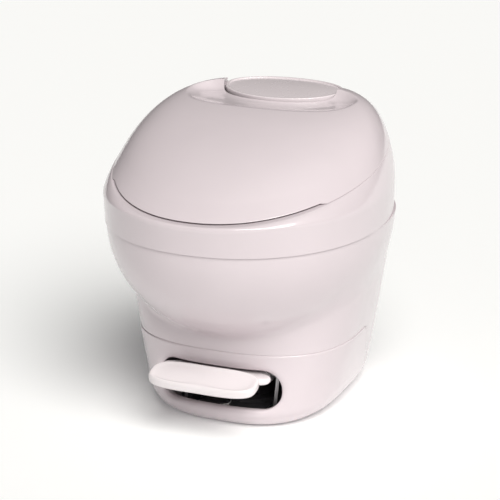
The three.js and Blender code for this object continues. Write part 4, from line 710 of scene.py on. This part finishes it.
def step(tree, kind, feeds, **settings):
    """The first output of a new node, with a link or a value in each named or numbered input."""
    made = tree.nodes.new(kind if "Node" in kind else "GeometryNode" + kind)
    for setting, value in settings.items():
        setattr(made, setting, value)
    for socket, feed in feeds.items():
        if isinstance(feed, bpy.types.NodeSocket):
            tree.links.new(feed, made.inputs[socket])
        else:
            made.inputs[socket].default_value = feed
    return made.outputs[0] if made.outputs else None


def reckon(operation, *terms):
    """Arithmetic on outputs and numbers, in the tree that the outputs belong to."""
    tree = next(term.id_data for term in terms if isinstance(term, bpy.types.NodeSocket))
    return step(tree, "ShaderNodeMath", dict(enumerate(terms)), operation=operation)


def times(first, second):
    return reckon("MULTIPLY", first, second)


def between(first, last, mix):
    feeds = {"Value": mix, "To Min": first, "To Max": last}
    return step(mix.id_data, "ShaderNodeMapRange", feeds, clamp=False)


def tree_end(given, shape):
    real = step(shape.id_data, "RealizeInstances", {"Geometry": shape})
    paint = step(shape.id_data, "SetMaterial", {"Geometry": real, "Material": given["finish"]})
    step(shape.id_data, "NodeGroupOutput", {"Geometry": paint})


def thickened(skin, wall):
    """A closed wall from an open skin: a flipped copy is pushed inwards and sewn on at the rims."""
    tree = skin.id_data
    over = step(tree, "FlipFaces", {"Mesh": skin})
    push = {"Mesh": over, "Offset Scale": wall, "Individual": False}
    pushed = step(tree, "ExtrudeMesh", push, mode="FACES")
    both = tree.nodes.new("GeometryNodeJoinGeometry")
    for part in (skin, pushed):
        tree.links.new(part, both.inputs[0])
    return step(tree, "MergeByDistance", {"Geometry": both.outputs[0], "Distance": 1e-6})


def grown(name, tree, points=((0, 0, 0),), edges=(), **values):
    """The tree run on a row of points in millimetres and kept as a plain closed mesh."""
    host = bpy.data.meshes.new(name)
    host.from_pydata(in_metres(points), list(edges), [])
    piece = in_scene(name, host)
    run = piece.modifiers.new("grown", "NODES")
    run.node_group = tree
    for item in tree.interface.items_tree:
        if item.in_out == "INPUT" and item.name in values:
            run[item.identifier] = values[item.name]
    settled(piece)
    cleaned(piece.data, 1e-7)
    return piece


bowl_tree, given = group_tree(
    "bowl_rule", "top outlet belly mouth_half mouth_reach mouth_centre outlet_radius outlet_centre power wall")
unit_tube = {"Vertices": 240, "Side Segments": 44, "Radius": 1.0, "Depth": 1.0}
tube = step(bowl_tree, "MeshCylinder", unit_tube, fill_type="NONE")
position = step(bowl_tree, "InputPosition", {})
place = step(bowl_tree, "ShaderNodeSeparateXYZ", {0: position}).node.outputs
climb = step(bowl_tree, "ShaderNodeClamp", {"Value": reckon("ADD", place[2], 0.5)})
depth = reckon("SUBTRACT", 1.0, climb)
bulge = times(times(depth, depth), times(climb, given["belly"]))
share = reckon("ADD", depth, bulge)
half_width = between(given["mouth_half"], given["outlet_radius"], share)
half_length = between(given["mouth_reach"], given["outlet_radius"], share)
terms = [reckon("POWER", reckon("DIVIDE", reckon("ABSOLUTE", place[side]), size), given["power"])
         for side, size in ((0, half_width), (1, half_length))]
spread = reckon("POWER", reckon("ADD", *terms), reckon("DIVIDE", -1.0, given["power"]))
centre = between(given["mouth_centre"], given["outlet_centre"], share)
moved = step(bowl_tree, "ShaderNodeCombineXYZ", {
    0: times(place[0], spread),
    1: reckon("ADD", times(place[1], spread), centre),
    2: between(given["outlet"], given["top"], climb),
})
lining_skin = step(bowl_tree, "SetPosition", {"Geometry": tube, "Position": moved})
tree_end(given, thickened(lining_skin, given["wall"]))
bowl_plastic = moulded_finish("bowl_plastic", (0.93, 0.915, 0.91), 0.12, ripple=0.00003, tint=0.012, coat=0.8)

mouth = dict(half=114, front=108, rear=108, centre=-50, power=2.12)
outlet_ring = dict(half=38, front=38, rear=38, centre=12, power=2)
rim = np.concatenate([
    egg_rings(mouth, [(306, 1.8), (308.4, 0.25), (309.2, 0.6), (309.8, 1.3), (310, 2.2)]),
    egg_rings(spigot, [(310, -1), (309.7, -0.3), (309, 0), (307, 0), (306.3, -0.3), (306, -1)]),
])
flange = egg_rings(outlet_ring, [
    (101.2, 0.8), (103, 1.8), (105.2, 2.2), (105.2, 15), (104.6, 16), (101.8, 16), (101.2, 15)])
bowl = worked(
    grown("bowl_lining", bowl_tree, top=0.309, outlet=0.1012, belly=0.9, mouth_half=0.1176, mouth_reach=0.1116,
          mouth_centre=-0.0555, outlet_radius=0.0416, outlet_centre=0.0065, power=2.12, wall=0.0036,
          finish=bowl_plastic),
    ("UNION", closed_skin("rim", rim, hoop=True)),
    ("UNION", closed_skin("flange", flange, hoop=True)),
)
fitted(bowl, "toilet", "bowl_plastic", bowl_plastic, "bowl")


# Foot pedal: a white pad with a dished top and soft edges, on a plate that runs back through the
# slot to two arms on the pedal shaft.
pad_egg = dict(half=83.5, front=27, rear=27, centre=-176, power=3.3)
pad_edge, pad_wall, pad_inner_half = 3.4, 7, 58.6


def pad_top(y):
    return 94.5 + 0.235 * (y + 176)


pad_steps = [(-12, -2.6), (-11.5, -1.2), (-10.4, -0.3), (-9.2, 0), (-3.8, 0)]
for angle in np.linspace(0.1, QUARTER, 9):
    pad_steps.append((-pad_edge + pad_edge * math.sin(angle), -pad_edge * (1 - math.cos(angle))))
pad_steps += [(-0.05, -4.6), (-0.3, -6.4), (-0.8, -8.8), (-1.2, -12), (-1.4, -16.5), (-1.5, -22)]
pad_under = [(-192, 0), (0, 0), (0, pad_top(0) - pad_wall), (-192, pad_top(-192) - pad_wall)]
rear_level = pad_top(-149) - 14
rear_trim = [(-163, 0), (0, 0), (0, rear_level), (-163, rear_level)]
pedal_pad = worked(
    closed_skin("pedal_tread", egg_rings(pad_egg, pad_steps, pad_top)),
    ("DIFFERENCE", drawn("pad_under", pad_under, 0, -pad_inner_half, pad_inner_half)),
    ("DIFFERENCE", drawn("rear_trim", rear_trim, 0, -pad_inner_half, pad_inner_half)),
)
pedal_white = moulded_finish("pedal_white", (0.8, 0.745, 0.76), 0.24)
fitted(pedal_pad, "pedal", "shell_plastic", pedal_white, "pedal_pad")


# Pedal plate: the plate behind the pad, with a round-ended wing on each side, a tongue that carries
# the pad and two arms back to the pedal shaft. It is moulded in the pad's own white plastic.
lever_low, lever_top, shaft_place = 79, 88, (-54, 62)
wing_egg = dict(half=86, front=18, rear=18, centre=-132, power=2.9)
back_egg = dict(half=66, front=27, rear=27, centre=-106, power=12)


def soft_slab(name, egg, low, high, soft):
    """A slab with a round-edged top and bottom."""
    turns = np.linspace(0, QUARTER, 7)
    steps = [(low + soft * (1 - math.sin(angle)), -soft * (1 - math.cos(angle))) for angle in turns[::-1]]
    steps += [(high - soft * (1 - math.sin(angle)), -soft * (1 - math.cos(angle))) for angle in turns]
    return closed_skin(name, egg_rings(egg, steps))


tongue_top = pad_top(-192) - 7.3
tongue_outline = [(-192, tongue_top - 6), (-139, lever_low + 0.4), (-139, lever_top - 0.4),
                  (-150, lever_top - 0.6), (-192, tongue_top)]
arm_side = [(-87, 79.4), (-65, 62), (-43, 62), (-80, 87.4), (-87, 87.4)]
pedal_plate = worked(
    soft_slab("pedal_plate", wing_egg, lever_low, lever_top, 4.2),
    ("UNION", soft_slab("back_plate", back_egg, lever_low + 0.2, lever_top - 0.2, 2)),
    ("UNION", drawn("tongue", tongue_outline, 0, -57.5, 57.5)),
    *both_sides("UNION", lambda: drawn("arm", arm_side, 0, 45.3, 58.7)),
    *both_sides("UNION", lambda: turned("hub", 11, 45, 59, shaft_place)),
    ("DIFFERENCE", turned("shaft_room", 6.3, -FAR, FAR, shaft_place, 40)),
)
fitted(pedal_plate, "pedal", "shell_plastic", pedal_white, "pedal_lever")


# Outlet housing, chamber lid, rack guide and base plate: dark glass-filled nylon mouldings that sit
# together round the outlet. Their moulded shapes stay and they get a fine grain.
def tooled_finish(name, colour, roughness, metal, grain, depth, stretch=(1, 1, 1), spread=0.3):
    """Metal, rubber or grained plastic: a fine grain in height, gloss and tone."""
    paint, shader = bare_finish(name)
    place, aligned = finish_node(paint, "TexCoord"), finish_node(paint, "Mapping", Scale=stretch)
    noise = finish_node(paint, "TexNoise", Scale=grain, Detail=5)
    tone = two_tones(paint, colour, spread)
    gloss = finish_node(paint, "MapRange", To_Min=roughness * 0.75, To_Max=roughness * 1.3)
    relief = finish_node(paint, "Bump", Strength=1, Distance=depth)
    wired(
        (place, "Object", aligned, "Vector"), (aligned, "Vector", noise, "Vector"),
        (noise, "Fac", tone, "Fac"), (tone, "Color", shader, "Base Color"),
        (noise, "Fac", gloss, "Value"), (gloss, "Result", shader, "Roughness"),
        (noise, "Fac", relief, "Height"), (relief, "Normal", shader, "Normal"),
    )
    shader.inputs["Metallic"].default_value = metal
    return paint


def carried_over(paint, *names):
    for node in names:
        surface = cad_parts[node].data
        surface.materials.clear()
        surface.materials.append(paint)


frame_plastic = tooled_finish("frame_plastic", (0.055, 0.053, 0.058), 0.5, 0, 900, 0.00012)
carried_over(frame_plastic, "outlet_housing", "chamber_lid", "rack_guide", "base_plate")


# Slippery parts in natural acetal, moulded or machined: the toothed sector and its rack, the rinse
# nozzle, the water valve, the vacuum breaker and the spring's seat.
acetal = tooled_finish("acetal", (0.72, 0.69, 0.63), 0.38, 0, 260, 0.00003, spread=0.05)
carried_over(acetal, "rim_nozzle", "blade_pinion", "rack_slide", "spring_seat", "water_valve",
             "vacuum_breaker", "vacuum_breaker_cap")


# Rubber: the outlet's lip seal, the floor seal, the float's disc and six bumpers, all moulded black.
# The bumpers stand on the deck's slope and have a rounded face.
black_rubber = tooled_finish("black_rubber", (0.03, 0.029, 0.03), 0.7, 0, 700, 0.00008)
carried_over(black_rubber, "blade_seal", "floor_seal", "vacuum_float")


def bumper(node, high, radius, body, x, y):
    steps = [(0.3, -0.5), (0.7, 0), (high - 1.2, 0), (high - 0.6, -0.3), (high - 0.15, -1), (high, -2)]
    disc = dict(half=radius, front=radius, rear=radius, centre=y, power=2)
    rings = egg_rings(disc, steps, parting_height)[:, ::6] + (x, 0, 0)
    fitted(closed_skin(node + "_button", rings), body, "rubber", black_rubber, node)


for hand, way in (("left", -1), ("right", 1)):
    bumper("seat_bumper_front_" + hand, 3.7, 8, "seat_ring", way * 55, -163)
    bumper("seat_bumper_rear_" + hand, 3.7, 8, "seat_ring", way * 78, 30)
    bumper("lid_bumper_" + hand, 5.7, 5, "lid_cover", way * 183, -20)


# Hoses: the riser, the rinse hose and the supply tube, extruded rubber pushed over the nipples. One
# tree sweeps the round wall along each route: straight off both nipples, with one smooth bend between.
def swept(curve, sides, radius, capped=False):
    """A round section swept along a curve."""
    section = step(curve.id_data, "CurvePrimitiveCircle", {"Resolution": sides, "Radius": radius})
    feeds = {"Curve": curve, "Profile Curve": section, "Fill Caps": capped}
    return step(curve.id_data, "CurveToMesh", feeds)


hose_tree, given = group_tree("hose_sweep", "outer_radius wall")
route = step(hose_tree, "MeshToCurve", {"Mesh": given["Geometry"]})
tree_end(given, thickened(swept(route, 32, given["outer_radius"]), given["wall"]))

straight, bend_steps = 11.4, 48
for node, start, start_way, end, end_way, pull in [
    ("riser_hose", (123, 24, 122.6), (0, 0, 1), (74, 152, 275.4), (0, 0, -1), 55),
    ("rinse_hose", (58.4, 152, 288), (-1, 0, 0), (0, 61.8, 290), (0, 1, 0), 32),
    ("supply_tube", (60, 203, 110), (0, -1, 0), (123, 40.6, 110), (0, 1, 0), 55),
]:
    start, start_way, end, end_way = (np.array(v, float) for v in (start, start_way, end, end_way))
    first, last = start + straight * start_way, end + straight * end_way
    pulled = [first, first + pull * start_way, last + pull * end_way, last]
    row = [start, start + straight / 2 * start_way]
    for t in np.linspace(0, 1, bend_steps):
        weights = ((1 - t) ** 3, 3 * t * (1 - t) ** 2, 3 * t * t * (1 - t), t ** 3)
        row.append(sum(weight * point for weight, point in zip(weights, pulled)))
    row += [end + straight / 2 * end_way, end]
    hose = grown(node + "_sweep", hose_tree, row, [(i, i + 1) for i in range(len(row) - 1)],
                 outer_radius=0.0065, wall=0.0012, finish=black_rubber)
    fitted(hose, "toilet", "rubber", black_rubber, node)


# Hose clamps: a plain stainless band squeezed tight round each end of the riser and the rinse hose,
# over the nipples. The same sweep makes the bands.
brushed_steel = tooled_finish(
    "brushed_steel", (0.6, 0.6, 0.61), 0.3, 1, 420, 0.00002, stretch=(1, 1, 9), spread=0.12)
clamp_ends = [(123, 24, 125.5), (123, 24, 131.1), (74, 152, 266.9), (74, 152, 272.5),
              (49.9, 152, 288), (55.5, 152, 288), (0, 64.7, 290), (0, 70.3, 290)]
clamp_bands = grown("clamp_bands", hose_tree, clamp_ends, [(0, 1), (2, 3), (4, 5), (6, 7)],
                    outer_radius=0.0079, wall=0.0009, finish=brushed_steel)
fitted(clamp_bands, "toilet", "steel", brushed_steel, "hose_clamp_valve", "hose_clamp_breaker",
       "hose_clamp_side", "hose_clamp_nozzle")


# Screws: pan heads with a cross recess, three down through the bowl's flange into the outlet housing
# and two through the shroud's rear skirt. One tree makes the screw and sets it on every point.
def rod(tree, sides, radius, length):
    return step(tree, "MeshCylinder", {"Vertices": sides, "Radius": radius, "Depth": length})


def lifted(shape, z):
    offset = step(shape.id_data, "ShaderNodeCombineXYZ", {2: z})
    return step(shape.id_data, "Transform", {"Geometry": shape, "Translation": offset})


def combined(way, first, others):
    """One node that joins all its pieces, or cuts the others from the first."""
    tree = others[0].id_data
    made = tree.nodes.new("GeometryNodeMeshBoolean")
    made.operation, made.solver = way, "EXACT"
    if first is not None:
        tree.links.new(first, made.inputs["Mesh 1"])
    for other in others:
        tree.links.new(other, made.inputs["Mesh 2"])
    return made.outputs["Mesh"]


def set_on_points(given, fastener):
    """The tree's end: the fastener on each of the host's points, turned as asked."""
    feeds = {"Points": given["Geometry"], "Instance": fastener, "Rotation": given["turn"]}
    tree_end(given, step(fastener.id_data, "InstanceOnPoints", feeds))


screw_tree, given = group_tree(
    "cross_screws", "head_radius head_height shank_radius shank_length", turn="Rotation")
head_radius, head_height, shank_length = given["head_radius"], given["head_height"], given["shank_length"]
low_head, top_head = (times(head_height, part) for part in (0.45, 0.55))
dome = step(screw_tree, "MeshCone", {
    "Vertices": 40, "Side Segments": 1, "Radius Top": times(head_radius, 0.7),
    "Radius Bottom": head_radius, "Depth": top_head,
})
slots = []
for long_way, short_way in ((1.1, 0.2), (0.2, 1.1)):
    size = step(screw_tree, "ShaderNodeCombineXYZ", {
        0: times(head_radius, long_way),
        1: times(head_radius, short_way),
        2: head_height,
    })
    slots.append(lifted(step(screw_tree, "MeshCube", {"Size": size}), head_height))
pieces = [
    lifted(rod(screw_tree, 40, head_radius, low_head), times(head_height, 0.225)),
    lifted(dome, low_head),
    lifted(rod(screw_tree, 24, given["shank_radius"], shank_length), times(shank_length, -0.49)),
]
set_on_points(given, combined("DIFFERENCE", combined("UNION", None, pieces), slots))

bowl_circle = [(49 * math.cos(a), 12 + 49 * math.sin(a), 105.5) for a in np.radians([90, 210, 330])]
for name, places, turn, nodes in [
    ("bowl_screws", bowl_circle, (0, 0, 0), ["bowl_screw_1", "bowl_screw_2", "bowl_screw_3"]),
    ("shroud_screws", [(-60, 236.3, 300), (60, 236.3, 300)], (-QUARTER, 0, 0),
     ["shroud_screw_left", "shroud_screw_right"]),
]:
    screws = grown(name, screw_tree, places, head_radius=0.0045, head_height=0.0024, shank_radius=0.0022,
                   shank_length=0.0118, turn=turn, finish=brushed_steel)
    fitted(screws, "toilet", "steel", brushed_steel, *nodes)


# Brass: hexagon nuts with chamfered corners, two on the closet bolts that hold the toilet down and
# the swivel nut of the supply line. The bolts and the water inlet's fitting keep their shapes.
machined_brass = tooled_finish(
    "machined_brass", (0.72, 0.53, 0.24), 0.28, 1, 300, 0.00002, stretch=(1, 9, 1), spread=0.12)
nut_tree, given = group_tree("hexagon_nuts", "corner_radius height bore", turn="Rotation")
middle = times(given["height"], 0.5)
corner = times(given["corner_radius"], 0.93)
ball_radius = reckon("SQRT", reckon("ADD", reckon("POWER", middle, 2.0), reckon("POWER", corner, 2.0)))
ball = step(nut_tree, "MeshUVSphere", {"Segments": 64, "Rings": 48, "Radius": ball_radius})
hexagon = combined("INTERSECT", None, [rod(nut_tree, 6, given["corner_radius"], given["height"]), ball])
bore = rod(nut_tree, 40, given["bore"], times(given["height"], 2.0))
set_on_points(given, lifted(combined("DIFFERENCE", hexagon, [bore]), middle))
for name, places, turn, (corner_radius, height, bore_radius), body, nodes in [
    ("closet_nuts", [(-76, 12, 8.6), (76, 12, 8.6)], (0, 0, 0), (0.007, 0.006, 0.0037), "toilet",
     ["closet_nut_left", "closet_nut_right"]),
    ("swivel_nut", [(60, 235.9, 110)], (QUARTER, 0, 0), (0.013, 0.009, 0.0086), "inlet_swivel",
     ["inlet_nut"]),
]:
    nuts = grown(name, nut_tree, places, corner_radius=corner_radius, height=height, bore=bore_radius,
                 turn=turn, finish=machined_brass)
    fitted(nuts, body, "brass", machined_brass, *nodes)
carried_over(machined_brass, "inlet_fitting", "closet_bolt_left", "closet_bolt_right")


# Return spring: hard steel wire coiled with a closed turn at each end, between the base plate's seat
# and the pedal plate. Its height is reckoned along the wire.
spring_tree, given = group_tree("coil_spring", "coil_radius wire_radius turns low high centre")
turns, coil_radius = given["turns"], given["coil_radius"]
line = step(spring_tree, "CurvePrimitiveLine", {"End": (0, 0, 1)})
wire = step(spring_tree, "ResampleCurve", {"Curve": line, "Count": 420})
turned_by = times(step(spring_tree, "SplineParameter", {}), turns)
end_rise = times(given["wire_radius"], 2.15)
last_turn = reckon("SUBTRACT", turns, 1.0)
full_rise = reckon("SUBTRACT", given["high"], given["low"])
free_rise = reckon("SUBTRACT", full_rise, times(end_rise, 2.0))
height = given["low"]
for rise, begin, end in ((end_rise, 0.0, 1.0), (free_rise, 1.0, last_turn), (end_rise, last_turn, turns)):
    feeds = {"Value": turned_by, "From Min": begin, "From Max": end, "To Min": 0.0, "To Max": rise}
    height = reckon("ADD", height, step(spring_tree, "ShaderNodeMapRange", feeds))
angle = times(turned_by, 2 * math.pi)
across, along = (times(reckon(wave, angle), coil_radius) for wave in ("COSINE", "SINE"))
along = reckon("ADD", along, given["centre"])
coil_place = step(spring_tree, "ShaderNodeCombineXYZ", {0: across, 1: along, 2: height})
coil = step(spring_tree, "SetPosition", {"Geometry": wire, "Position": coil_place})
tree_end(given, swept(coil, 16, given["wire_radius"], capped=True))
spring = grown("coil_spring", spring_tree, coil_radius=0.008, wire_radius=0.001, turns=7.0, low=0.00966,
               high=0.0775, centre=-0.1005, finish=brushed_steel)
fitted(spring, "toilet", "steel", brushed_steel, "return_spring")
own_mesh(spring)


# Pressed and turned steel: the blade with its shaft, the pedal shaft with its crank and brackets, the
# valve's plunger, the closet washers and the hinge pins, all brushed stainless.
carried_over(brushed_steel, "blade", "blade_shaft", "pedal_shaft", "pedal_crank", "pedal_bracket_left",
             "pedal_bracket_right", "valve_plunger", "closet_washer_left", "closet_washer_right",
             "hinge_pin_left", "hinge_pin_right")
